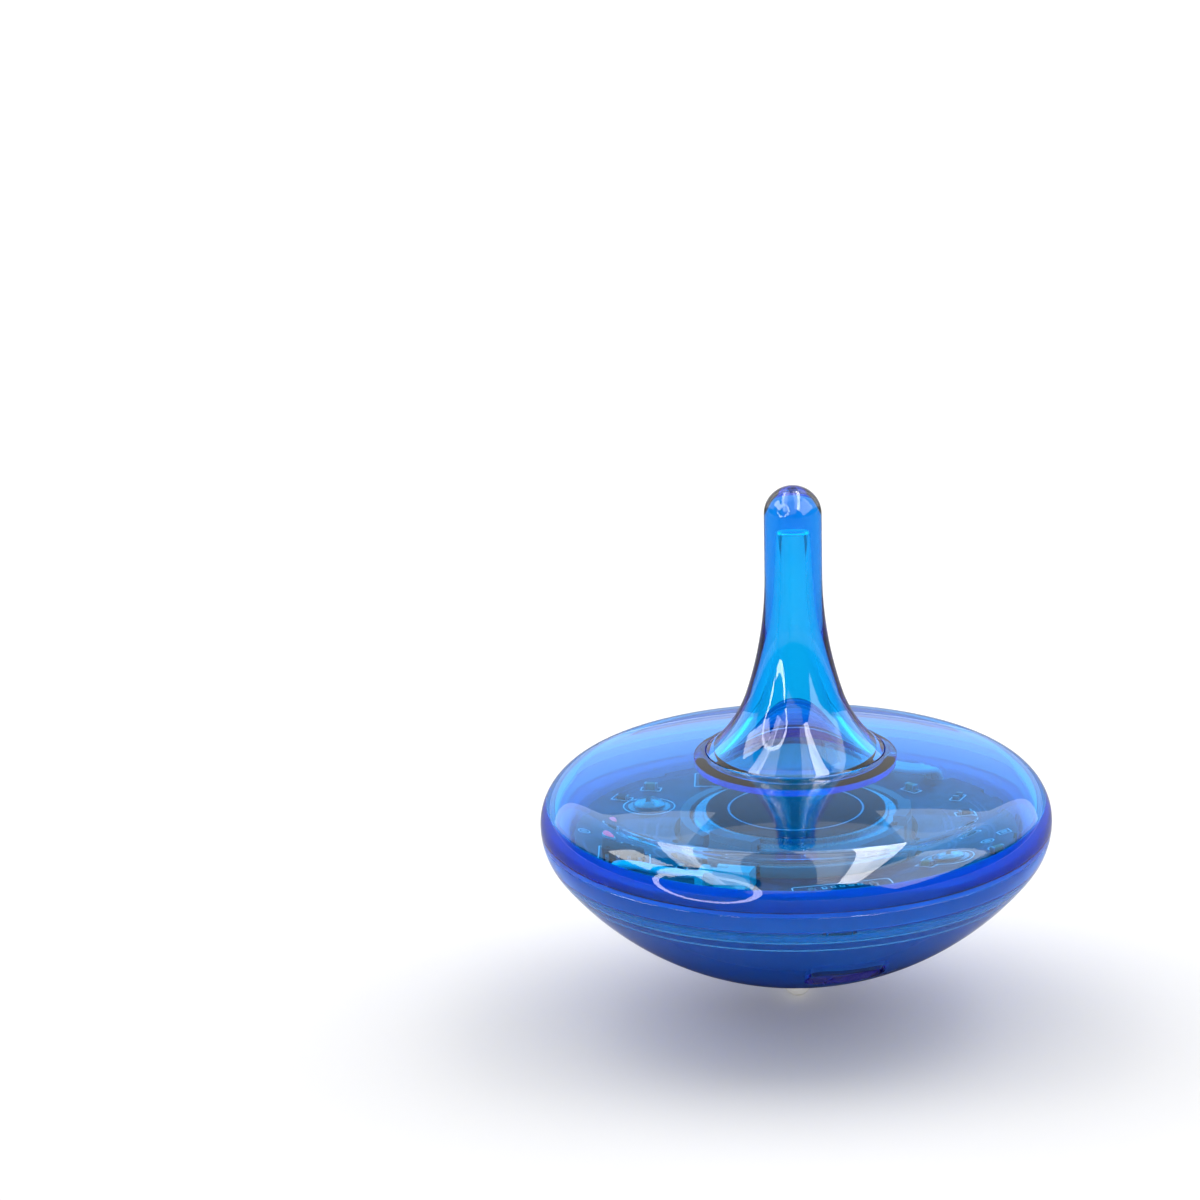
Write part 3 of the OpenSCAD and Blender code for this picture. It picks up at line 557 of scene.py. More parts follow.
def clear_plastic(name, inside_rough):
    """Clear plastic that takes red at once and green slowly out of the light passing through."""
    case = bpy.context.scene.top_case
    finish = Finish(name)
    smears = finish.noise(7 * MM, 4.0)
    tint = {"Color": rgba(colours().tint), "Density": colours().tint_density}
    depth = finish.node("ShaderNodeVolumeAbsorption", None, tint)
    finish.feed(finish.tree.nodes["Material Output"].inputs["Volume"], depth)
    height = finish.axis("Z")
    out = finish.out()
    reach = finish.hypot(out, height - case_arcs().bowl[1])
    inside = (reach < case.bowl_radius - 0.5 * case.wall) * (height < case.tongue_low + 0.5 * case.wall)
    finish.shade(
        base_color=WHITE,
        roughness=smears * 0.02 + inside * inside_rough,
        ior=1.5,
        transmission_weight=1.0,
    )
    frost = {"Base Color": rgba(colours().frost), "Roughness": 0.7}
    weld = finish.node("ShaderNodeBsdfPrincipled", None, frost, output="BSDF")
    share = joint_faces(out, height) * 0.4 | inside * inside_rough
    clear = Term(finish, finish.shader, "BSDF")
    surface = finish.node("ShaderNodeMixShader", None, {0: share, 1: clear, 2: weld})
    finish.feed(finish.tree.nodes["Material Output"].inputs["Surface"], surface)
    return finish.material


@cache
def clear_blue():
    """Polished on both faces, for the dome and the stem."""
    return clear_plastic("clear_blue", 0.0)


@cache
def textured_blue():
    """Polished outside and textured inside, for the bowl."""
    return clear_plastic("textured_blue", 0.52)


def moulded(name, base, rough=0.4, shift=0.12, grain=0.6 * MM, depth=0.004 * MM):
    """Moulded plastic: faint flow in the colour, a fine spark-eroded grain and uneven gloss."""
    finish = Finish(name)
    flow = finish.noise(4 * MM, 2.0)
    skin = finish.noise(grain * 0.2, 2.0)
    darker = tuple(c * (1 - shift) for c in base)
    return finish.shade(
        base_color=finish.blend(flow, rgba(darker), rgba(base)),
        roughness=flow * 0.15 + skin * 0.1 + (rough - 0.12),
        normal=finish.bump(skin, depth),
    )


def metal(name, base, rough=0.25, stretch=(1, 1, 1), depth=0.002 * MM):
    """Bare metal with fine tool marks along one way and a few dull patches."""
    finish = Finish(name)
    marks = finish.noise(0.15 * MM, 3.0, stretch)
    patches = finish.noise(3 * MM, 3.0)
    duller = tuple(c * 0.82 for c in base)
    return finish.shade(
        base_color=finish.blend(patches, rgba(duller), rgba(base)),
        metallic=1.0,
        roughness=marks * 0.2 + patches * 0.1 + (rough - 0.15),
        normal=finish.bump(marks, depth),
    )


@cache
def cream_nylon():
    return moulded("cream_nylon", colours().tip, rough=0.35)


@cache
def ground_steel():
    return metal("ground_steel", (0.55, 0.56, 0.58), 0.25, (1, 1, 12))


@cache
def bearing_chrome():
    return metal("bearing_chrome", (0.62, 0.63, 0.65), 0.18)


@cache
def turned_aluminium():
    return metal("turned_aluminium", (0.6, 0.6, 0.62), 0.3)


@cache
def insulated_iron():
    return moulded("insulated_iron", (0.05, 0.055, 0.065), rough=0.5)


@cache
def enamelled_copper():
    """Wound enamelled wire: fine ridges from turn to turn, with painted shade darkening the grooves between
    them.
    """
    finish = Finish("enamelled_copper")
    rows = finish.node(
        "ShaderNodeTexWave",
        {"wave_type": "BANDS", "bands_direction": "Z"},
        {"Vector": finish.place, "Scale": 1 / (2.4 * MM), "Distortion": 0.6},
        output="Fac",
    )
    return finish.shade(
        # Painted shade: the colour darkens in the grooves, where the bump is lowest.
        base_color=finish.blend(rows, (0.28, 0.09, 0.03, 1), (0.62, 0.26, 0.1, 1)),
        metallic=0.9,
        roughness=0.45 - rows * 0.15,
        normal=finish.bump(rows, 0.05 * MM),
    )


@cache
def plated_bell():
    return metal("plated_bell", (0.34, 0.35, 0.37), 0.3, (1, 1, 0.1))


@cache
def magnet_plating():
    return metal("magnet_plating", (0.2, 0.2, 0.21), 0.35)


@cache
def cradle_plastic():
    return moulded("cradle_plastic", colours().cradle, rough=0.5)


@cache
def black_foam():
    """Open foam: small cells, with painted shade darkening the pits in them."""
    finish = Finish("black_foam")
    cells = finish.node(
        "ShaderNodeTexVoronoi", None, {"Vector": finish.place, "Scale": 1 / (0.35 * MM)}, output="Distance"
    )
    return finish.shade(
        # Painted shade: darker in the pits of the cells, where the bump is lowest.
        base_color=finish.blend(cells, (0.004, 0.004, 0.005, 1), (0.03, 0.03, 0.033, 1)),
        roughness=0.9,
        normal=finish.bump(cells, 0.1 * MM),
    )


@cache
def cell_steel():
    return metal("cell_steel", (0.6, 0.61, 0.62), 0.28)


@cache
def label_film():
    """Dark film with one thin printed ring."""
    finish = Finish("label_film")
    ring = high("battery_label").x - 2.5 * MM
    line = 0.25 * MM
    print_mask = finish.out().between(ring - line, ring)
    fibres = finish.noise(0.5 * MM, 3.0)
    film = finish.blend(fibres, (0.012, 0.013, 0.018, 1), (0.022, 0.024, 0.03, 1))
    return finish.shade(
        base_color=finish.blend(print_mask, film, (0.7, 0.72, 0.74, 1)),
        roughness=fibres * 0.1 + 0.65,
        specular_ior_level=0.1,
        normal=finish.bump(fibres, 0.002 * MM),
    )


@cache
def solder_mask():
    """Dark mask over copper, with the bare glass laminate showing at the cut edges."""
    finish = Finish("solder_mask")
    skin = 0.03 * MM
    height = finish.axis("Z")
    faces = (height > BOARD_TOP - skin) | (height < low("circuit_board").z + skin)
    copper = finish.noise(2.2 * MM, 1.0) > 0.5
    weave = finish.noise(0.3 * MM, 2.0)
    mask = finish.blend(copper, rgba(colours().board), rgba(tuple(c * 1.9 for c in colours().board)))
    laminate = finish.blend(weave, (0.16, 0.13, 0.07, 1), (0.3, 0.26, 0.15, 1))
    return finish.shade(
        base_color=finish.blend(faces, laminate, mask),
        roughness=0.62 - faces * 0.3 + weave * 0.06,
        normal=finish.bump(copper * 0.7 + weave * 0.3, 0.012 * MM),
    )


@cache
def connector_nylon():
    return moulded("connector_nylon", colours().connector, rough=0.42)


@cache
def wire_insulation():
    return moulded("wire_insulation", colours().lead, rough=0.38)


@cache
def port_chrome():
    return metal("port_chrome", (0.45, 0.45, 0.47), 0.3, (1, 1, 6))


@cache
def black_nylon():
    return moulded("black_nylon", (0.012, 0.012, 0.014), rough=0.45)


@cache
def red_lens():
    """Lit lamp: a glowing red lens on a white base."""
    finish = Finish("red_lens")
    base_height = 0.41 * MM
    lens = finish.axis("Z") > BOARD_TOP + base_height
    heart = finish.noise(0.6 * MM, 1.0)
    glow = finish.blend(heart, (1.0, 0.002, 0.004, 1), (1.0, 0.004, 0.008, 1))
    return finish.shade(
        base_color=finish.blend(lens, (0.8, 0.78, 0.72, 1), rgba(colours().lamp)),
        roughness=0.4 - lens * 0.25,
        emission_color=finish.blend(lens, BLACK, glow),
        emission_strength=80.0,
    )


@cache
def chip_epoxy():
    return moulded("chip_epoxy", (0.018, 0.018, 0.02), rough=0.55, grain=0.25 * MM)


@cache
def solder_tin():
    return metal("solder_tin", (0.62, 0.63, 0.64), 0.3)


@cache
def mask_over_copper():
    return moulded("mask_over_copper", tuple(c * 3.2 for c in colours().board), rough=0.3)


@cache
def board_ink():
    return moulded("board_ink", colours().ink, rough=0.55, shift=0.1)


@cache
def ceramic_body():
    return moulded("ceramic_body", (0.44, 0.34, 0.21), rough=0.5)


# Shells and stem


def case_arcs():
    """Centres and angles of the case's arcs, from its few driving sizes."""
    case = bpy.context.scene.top_case
    rim = case.radius - case.bowl_rim
    rise = math.sqrt((case.bowl_radius - case.bowl_rim) ** 2 - rim**2)
    equator = case.bowl_bottom + case.bowl_radius - rise
    dome_rim = case.radius - case.dome_rim
    dome_rise = math.sqrt((case.dome_radius - case.dome_rim) ** 2 - dome_rim**2)
    drop = equator - case.seam
    return SimpleNamespace(
        equator=equator,
        bowl=(0.0, equator + rise),
        bowl_rim=(rim, equator),
        bowl_angle=math.degrees(-math.atan2(rise, rim)),
        dome=(0.0, equator - dome_rise),
        dome_rim=(dome_rim, equator),
        dome_angle=math.degrees(math.atan2(dome_rise, dome_rim)),
        seam_angle=-math.degrees(math.asin(drop / case.bowl_rim)),
        seam_out=rim + math.sqrt(case.bowl_rim**2 - drop**2),
    )


def dome_height(r, inset=0.0):
    case = bpy.context.scene.top_case
    return case_arcs().dome[1] + math.sqrt((case.dome_radius - inset) ** 2 - r**2)


def bowl_height(r, inset=0.0):
    case = bpy.context.scene.top_case
    return case_arcs().bowl[1] - math.sqrt((case.bowl_radius - inset) ** 2 - r**2)


def stem_foot():
    return dome_height(high("finger_stem").x) - bpy.context.scene.top_stem.depth


def angle_at(r, radius):
    return math.degrees(math.acos(r / radius))


class TOP_OT_upper_shell(bpy.types.Operator):
    """Turn the clear dome with its rim, its tongue and the socket of the stem"""

    bl_idname = "top.upper_shell"
    bl_label = "Upper shell"

    def execute(self, context):
        case = context.scene.top_case
        arcs = case_arcs()
        socket_low = stem_foot() - case.socket_floor
        socket_out = case.socket_bore + case.socket_wall
        tongue_in = case.tongue_out - case.tongue_wall
        inner_rim = case.dome_rim - case.wall
        inner_dome = case.dome_radius - case.wall
        slope_angle = math.degrees(math.asin(case.root_up / inner_rim))
        slope_r = arcs.dome_rim[0] + inner_rim * math.cos(math.radians(slope_angle))
        pen = Pen("upper_shell_clear", 0, socket_low)
        pen.line(socket_out, socket_low)
        pen.line(socket_out, dome_height(socket_out, case.wall))
        pen.arc(arcs.dome, arcs.dome_angle - angle_at(socket_out, inner_dome), 20)
        pen.arc(arcs.dome_rim, slope_angle - arcs.dome_angle, 14)
        pen.line(tongue_in, arcs.equator - case.root_down)
        pen.line(tongue_in, case.tongue_low)
        pen.line(case.tongue_out, case.tongue_low)
        pen.line(case.tongue_out, case.seam)
        pen.line(arcs.seam_out, case.seam)
        pen.arc(arcs.bowl_rim, -arcs.seam_angle, 4)
        pen.arc(arcs.dome_rim, arcs.dome_angle, 24)
        pen.arc(arcs.dome, angle_at(case.socket_bore, case.dome_radius) - arcs.dome_angle, 24)
        pen.line(case.socket_bore, stem_foot())
        pen.line(0, stem_foot())
        piece = pen.revolve(case.steps)
        soften_ring(piece, arcs.seam_out, case.seam, case.softness)
        soften_ring(piece, case.socket_bore, dome_height(case.socket_bore), case.softness)
        soften_ring(piece, socket_out, socket_low, case.softness)
        turns = [math.degrees(case.tab_angle) + i * 360 / case.tabs for i in range(case.tabs)]
        spots = [standing(0, 0, 0, turn) for turn in turns]
        carve(piece, copied("beads", self.bead(case), spots), "UNION")
        carve(piece, copied("slits", self.slits(case), spots))
        seat(piece, clear_blue(), "clear_blue", "upper_shell")
        glint(RIM_RING, piece)
        return {"FINISHED"}

    def bead(self, case):
        """Bead of one snap tab, spun along the tongue."""
        place = (case.tongue_out, 0, case.tongue_low + case.bead_rise)
        bead = flat_disc("bead", case.bead, 12, place, (math.pi / 2, 0, 0))
        half = math.asin((case.tab / 2 - case.slit / 2) / case.tongue_out)
        with editing(bead):
            select_all()
            bpy.ops.mesh.spin(steps=6, angle=2 * half, center=(0, 0, 0), axis=(0, 0, 1))
            merge_doubles()
            bpy.ops.mesh.normals_make_consistent(inside=False)
        middle = sum((vertex.co for vertex in bead.data.vertices), Vector()) / len(bead.data.vertices)
        bead.rotation_euler.z = -math.atan2(middle.y, middle.x)
        return bead

    def slits(self, case):
        """The two slits beside one snap tab."""
        size = (3 * case.tongue_wall, case.slit, 2 * case.slit_height)
        place = case.tongue_out - case.tongue_wall / 2
        low_end = case.tongue_low - case.slit_height
        sides = [side * (case.tab + case.slit) / 2 for side in (-1, 1)]
        return joined("slits", [block("slit", size, (place, y, low_end)) for y in sides])


class TOP_OT_lower_shell(bpy.types.Operator):
    """Turn the clear bowl with its rebate and motor pad"""

    bl_idname = "top.lower_shell"
    bl_label = "Lower shell"

    def execute(self, context):
        case = context.scene.top_case
        arcs = case_arcs()
        rebate_r = case.tongue_out + case.lap_gap
        rebate_z = case.tongue_low - case.lap_gap
        inner = case.bowl_radius - case.wall
        shelf_r = math.sqrt(inner**2 - (arcs.bowl[1] - rebate_z) ** 2)
        pad_z = low("motor_base").z
        pen = Pen("lower_shell_clear", case.tip_hole, bowl_height(case.tip_hole))
        pen.arc(arcs.bowl, angle_at(case.tip_hole, case.bowl_radius) + arcs.bowl_angle, 48)
        pen.arc(arcs.bowl_rim, arcs.seam_angle - arcs.bowl_angle, 16)
        pen.line(rebate_r, case.seam)
        groove = case.bead + case.lap_gap
        groove_z = case.tongue_low + case.bead_rise
        pen.line(rebate_r, groove_z + groove)
        pen.arc((rebate_r, groove_z), -180, 10)
        pen.line(rebate_r, rebate_z)
        pen.line(shelf_r, rebate_z)
        pen.arc(arcs.bowl, angle_at(shelf_r, inner) - angle_at(case.motor_pad, inner), 40)
        pen.line(case.motor_pad, pad_z)
        pen.line(case.tip_hole, pad_z)
        piece = pen.close().revolve(case.steps)
        soften_ring(piece, arcs.seam_out, case.seam, case.softness)
        soften_ring(piece, case.tip_hole, bowl_height(case.tip_hole), case.softness)
        post_top = low("circuit_board").z
        screw_bite = 1 * MM
        boss_top = low("cradle_screws").z + screw_bite
        posts = [self.post(case, case.post, SCREW_RADIUS, turn, post_top) for turn in BOARD_SCREWS]
        bosses = [self.post(case, case.boss, FOOT_RADIUS, turn, boss_top) for turn in FOOT_SCREWS]
        carve(piece, joined("posts", posts + bosses), "UNION")
        carve(piece, joined("holes", self.holes(case, post_top, boss_top, pad_z)))
        seat(piece, textured_blue(), "clear_blue", "lower_shell")
        return {"FINISHED"}

    def post(self, case, r, out, turn, top):
        """A post whose foot is sunk halfway into the curved wall."""
        post = rod("post", r, 0, top, 48)
        post.matrix_world = standing(out, turn, 0)
        settle(post)
        with editing(post):
            pick(post, "verts", lambda p: p.z < NEAR)
            mesh = bmesh.from_edit_mesh(post.data)
            for vertex in mesh.verts:
                if vertex.select:
                    vertex.co.z = bowl_height(math.hypot(vertex.co.x, vertex.co.y), case.wall / 2)
        return post

    def holes(self, case, post_top, boss_top, pad_z):
        """Screw holes in the posts, bosses and motor pad, and the slot under the charging port."""
        depth = 5 * MM
        over = 1 * MM
        deep = rod("hole", case.screw_hole, -depth, over)
        shallow = rod("hole", case.screw_hole, -over, over)
        pad = rod("hole", case.screw_hole, -over / 2, over)
        slot = block("slot", (*case.port_slot, post_top))
        with editing(slot, "EDGE"):
            bpy.ops.mesh.select_all(action="DESELECT")
            mesh = bmesh.from_edit_mesh(slot.data)
            for edge in mesh.edges:
                edge.select_set(abs(edge.verts[0].co.z - edge.verts[1].co.z) > NEAR)
            bpy.ops.mesh.bevel(offset=0.499 * case.port_slot[1], segments=10, affect="EDGES")
        slot.matrix_world = standing(PORT_RADIUS, PORT_TURN, 0, PORT_TURN + 90)
        return [
            copied("deep", deep, [standing(SCREW_RADIUS, turn, post_top) for turn in BOARD_SCREWS]),
            copied("shallow", shallow, [standing(FOOT_RADIUS, turn, boss_top) for turn in FOOT_SCREWS]),
            copied("pad", pad, [standing(MOTOR_SCREW_RADIUS, turn, pad_z) for turn in MOTOR_SCREWS]),
            slot,
        ]


class TOP_OT_finger_stem(bpy.types.Operator):
    """Turn the hollow flared stem"""

    bl_idname = "top.finger_stem"
    bl_label = "Finger stem"

    def execute(self, context):
        stem = context.scene.top_stem
        foot_r = high("finger_stem").x
        foot_z = stem_foot()
        top = high("finger_stem").z
        turn = math.degrees(stem.flare_angle)
        grip_top = top - stem.grip
        flare_z = grip_top - stem.grip_length
        flare = (stem.grip + stem.flare, flare_z)
        reach = stem.flare - stem.foot_flare
        foot_flare = (
            flare[0] - reach * math.cos(stem.flare_angle),
            flare[1] - reach * math.sin(stem.flare_angle),
        )
        inner = stem.flare + stem.wall
        core = (flare[0] - inner * math.cos(stem.draft), flare_z - inner * math.sin(stem.draft))
        core_top = top - stem.solid_end
        core_end = core[0] - (core_top - core[1]) * math.tan(stem.draft)
        foot_bore = foot_r - stem.wall
        lip = angle_at(foot_flare[0] - foot_r, stem.foot_flare)
        bore_flare = stem.foot_flare + stem.wall
        bore_lip = angle_at(foot_flare[0] - foot_bore, bore_flare)
        pen = Pen("finger_stem_clear", 0, top)
        pen.arc((0, grip_top), -90, 24)
        pen.line(stem.grip, flare_z)
        pen.arc(flare, turn, 24)
        pen.arc(foot_flare, lip - turn, 24)
        lip_z = pen.z
        pen.line(foot_r, foot_z)
        pen.line(foot_bore, foot_z)
        pen.line(foot_bore, foot_flare[1] - bore_flare * math.sin(math.radians(bore_lip)))
        pen.arc(foot_flare, turn - bore_lip, 24)
        pen.arc(flare, math.degrees(stem.draft) - turn, 24)
        pen.line(core_end, core_top)
        pen.line(0, core_top)
        piece = pen.revolve(context.scene.top_case.steps)
        softness = context.scene.top_case.softness
        soften_ring(piece, foot_r, lip_z, softness)
        soften_ring(piece, foot_r, foot_z, softness)
        soften_ring(piece, core_end, core_top, 4 * softness)
        seat(piece, clear_blue(), "clear_blue", "finger_stem")
        glint(STEM_RING, piece)
        return {"FINISHED"}


class TOP_OT_drive_tip(bpy.types.Operator):
    """Turn the cream tip that the top spins on"""

    bl_idname = "top.drive_tip"
    bl_label = "Drive tip"

    def execute(self, context):
        r = high("drive_tip").x
        top = high("drive_tip").z
        clearance = 0.05 * MM
        bore = high("motor_shaft").x + clearance
        bore_z = low("motor_shaft").z
        pen = Pen("drive_tip_turned", 0, 0)
        pen.arc((0, r), 90, 20)
        pen.line(r, top)
        pen.line(bore, top)
        pen.line(bore, bore_z)
        pen.line(0, bore_z)
        piece = pen.revolve(64)
        soften_ring(piece, r, top, 0.1 * MM)
        seat(piece, cream_nylon(), "cream_tip", "drive_tip", body="rotor")
        return {"FINISHED"}


# Screws, leads and the parts on the board


# Pan-head screws: head radius, head height and length
BOARD_PAN = (1.9 * MM, 1.1 * MM, 5.55 * MM)
CRADLE_PAN = (1.4 * MM, 0.8 * MM, 2.2 * MM)
MOTOR_PAN = (1.1 * MM, 0.8 * MM, 2 * MM)


class TOP_OT_screws(bpy.types.Operator):
    """Turn the pan-head screws of the board, the cradle and the motor"""

    bl_idname = "top.screws"
    bl_label = "Screws"

    shank = 0.8 * MM
    thread = 0.18 * MM
    pitch = 0.4 * MM

    def execute(self, context):
        cradle_seat = high("cradle_screws").z - CRADLE_PAN[1]
        board = [standing(SCREW_RADIUS, turn, BOARD_TOP, turn + 20) for turn in BOARD_SCREWS]
        cradle = [standing(FOOT_RADIUS, turn, cradle_seat, turn) for turn in FOOT_SCREWS]
        motor = [standing(MOTOR_SCREW_RADIUS, turn, FLANGE_TOP, turn) for turn in MOTOR_SCREWS]
        sets = (
            ("board_screws", BOARD_PAN, board),
            ("cradle_screws", CRADLE_PAN, cradle),
            ("motor_screws", MOTOR_PAN, motor),
        )
        for node, sizes, places in sets:
            screws = copied(f"{node}_pan", self.screw(*sizes), places)
            seat(screws, ground_steel(), "steel", node)
        return {"FINISHED"}

    def screw(self, head_r, head_h, length):
        """One screw with its seat at the origin: ringed shank, domed head and crossed recess."""
        root = self.shank - self.thread
        ball = 1.5 * head_r
        edge = head_h - ball + math.sqrt(ball**2 - head_r**2)
        pen = Pen("screw", 0, -length)
        pen.line(root, -length)
        for turn in range(int(length / self.pitch) - 1):
            pen.line(self.shank, -length + (turn + 0.5) * self.pitch)
            pen.line(root, -length + (turn + 1) * self.pitch)
        pen.line(self.shank, 0)
        pen.line(head_r, 0)
        pen.line(head_r, edge)
        pen.arc((0, head_h - ball), 90 - math.degrees(math.acos(head_r / ball)), 6)
        screw = pen.revolve(40)
        bar = (1.15 * head_r, 0.3 * head_r, head_h)
        floor = (0, 0, 0.4 * head_h)
        cross = [block("bar", bar, floor), block("bar", (bar[1], bar[0], bar[2]), floor)]
        for part in cross:
            carve(screw, part)
        soften(screw, 0.03 * MM, 50)
        return screw


# Routes after a plug. Over the board: distance from its edge, direction, rise over its top. Under the
# rotor: distance from the bell's wall, direction, rise over the flange. At the cell: distance from its
# wall, direction, rise over its underside. Millimetres and degrees
MOTOR_OVER = (
    (4.15, 53, 1.4), (3.75, 49.8, 1.4), (3, 48, 1.4), (2.1, 48, 1.2), (1.2, 48, 0.5),
    (0.95, 48, -0.6), (1.2, 48, -2), (2.4, 48, -3.4), (5, 48, -5.1), (9, 48, -7.6),
)
MOTOR_UNDER = (
    (3.6, 48, 2.7), (1.9, 48, 1.15), (0.8, 48, 0.5), (-0.4, 48, 0.2), (-1.8, 48, 0.3),
    (-3, 48, 0.65), (-4.4, 48, 0.7),
)
BATTERY_OVER = (
    (3.8, -133.5, 1.35), (2.75, -142, 1.25), (1.4, -147.5, 0.75), (1, -148, -0.5), (1.1, -148, -1.7),
    (1.9, -148, -2.7), (3.4, -148, -3.3), (6, -149, -3.4), (9.5, -149, -3),
)
BATTERY_AT_CELL = ((2.1, -149, 0.3), (0.2, -150, 0.7))

# Plugs: distance from the board's edge, direction, and the way in which the leads go out
MOTOR_PLUG = (3.8, 72, -30)
BATTERY_PLUG = (6.5, -111, 170)


class TOP_OT_leads(bpy.types.Operator):
    """Lay the round leads of the motor and the battery side by side along their routes"""

    bl_idname = "top.leads"
    bl_label = "Leads"

    thickness = 0.8 * MM
    pitch = 0.92 * MM
    plug_end = 4.075 * MM
    plug_rise = 1.4 * MM

    def execute(self, context):
        over = self.route(MOTOR_OVER, BOARD_RADIUS, BOARD_TOP, -1)
        under = self.route(MOTOR_UNDER, high("rotor_bell").x, FLANGE_TOP)
        self.lay("motor_leads", MOTOR_PLUG, over + under, 3)
        over = self.route(BATTERY_OVER, BOARD_RADIUS, BOARD_TOP, -1)
        ends = self.route(BATTERY_AT_CELL, high("battery_cell").x, low("battery_cell").z)
        self.lay("battery_leads", BATTERY_PLUG, over + ends, 2)
        return {"FINISHED"}

    def route(self, rows, radius, height, way=1):
        """Places of a route, measured outwards from a radius or, with a way of -1, inwards."""
        return [polar(radius + way * out * MM, turn, height + rise * MM) for out, turn, rise in rows]

    def lay(self, node, plug, route, count):
        inset, turn, way = plug
        start = polar(BOARD_RADIUS - inset * MM, turn, BOARD_TOP + self.plug_rise)
        leaving = [start + polar(self.plug_end + i * self.thickness, way) for i in range(3)]
        path = self.smooth(leaving + route)
        sides = self.sides(path)
        leads = []
        for i in range(count):
            shift = (i - (count - 1) / 2) * self.pitch
            leads.append(self.tube([p + shift * side for p, side in zip(path, sides)]))
        seat(joined(f"{node}_round", leads), wire_insulation(), "lead", node, smooth=60)

    def smooth(self, points, steps=6):
        """Points along a curve that passes through all the chosen ones."""
        path = []
        last = len(points) - 1
        for i in range(last):
            a, b, c, d = (points[max(0, min(last, i + k))] for k in (-1, 0, 1, 2))
            bend = 2 * a - 5 * b + 4 * c - d
            twist = 3 * b - a - 3 * c + d
            for k in range(steps):
                t = k / steps
                path.append(0.5 * (2 * b + (c - a) * t + bend * t**2 + twist * t**3))
        return path + [points[last]]

    def sides(self, path):
        """Sideways direction at each point, carried along the path."""
        found = []
        for i in range(len(path)):
            ahead = (path[min(i + 1, len(path) - 1)] - path[max(i - 1, 0)]).normalized()
            side = found[-1] if found else Vector((0, 0, 1)).cross(ahead)
            found.append((side - side.dot(ahead) * ahead).normalized())
        return found

    def tube(self, path):
        curve = bpy.data.curves.new("lead", "CURVE")
        curve.dimensions = "3D"
        curve.bevel_depth = self.thickness / 2
        curve.bevel_resolution = 4
        curve.use_fill_caps = True
        spline = curve.splines.new("POLY")
        spline.points.add(len(path) - 1)
        for point, place in zip(spline.points, path):
            point.co = (*place, 1.0)
        lead = bpy.data.objects.new("lead", curve)
        bpy.context.collection.objects.link(lead)
        activate(lead)
        bpy.ops.object.convert(target="MESH")
        return bpy.context.object


# Chip parts: distance from the board's edge in millimetres, direction and turn in degrees
RESISTORS = (
    (1.9, -83, 20), (2.4, -58, 30), (1.2, -27, 60), (2.6, 152, 10),
    (4.2, 28, 40), (5.6, 12, 0), (8.4, 98, 90), (6.6, -176, 0),
)
CAPACITORS = (
    (1.5, -90, 70), (2.2, -64, 20), (1.6, -19, 50), (3.4, 140, 30),
    (6.8, 44, 90), (7.6, -36, 0), (8.8, -140, 45),
)
RESISTOR_SIZE = Vector((1.6, 0.8, 0.45)) * MM
CAPACITOR_SIZE = Vector((1.6, 0.8, 0.8)) * MM


class TOP_OT_chip_parts(bpy.types.Operator):
    """Model the chip resistors and capacitors with their soldered ends"""

    bl_idname = "top.chip_parts"
    bl_label = "Chip parts"

    terminal = 0.3 * MM
    step = 0.03 * MM

    def execute(self, context):
        sets = (
            ("chip_resistors", RESISTORS, RESISTOR_SIZE, chip_epoxy(), "chip_black"),
            ("chip_capacitors", CAPACITORS, CAPACITOR_SIZE, ceramic_body(), "ceramic"),
        )
        for node, rows, size, finish, slot in sets:
            places = [standing(BOARD_RADIUS - p[0] * MM, p[1], BOARD_TOP, p[1] + p[2]) for p in rows]
            body = (size.x - 1.6 * self.terminal, size.y - 2 * self.step, size.z - 2 * self.step)
            model = block("body", body, (0, 0, self.step), 0.04 * MM)
            seat(copied(f"{node}_bodies", model, places), finish, slot, node)
            ends = [self.end(size, side) for side in (-1, 1)]
            model = joined("ends", ends)
            seat(copied(f"{node}_ends", model, places), solder_tin(), "steel")
        return {"FINISHED"}

    def end(self, size, side):
        place = (side * (size.x - self.terminal) / 2, 0, 0)
        return block("end", (self.terminal, size.y, size.z), place, 0.07 * MM)


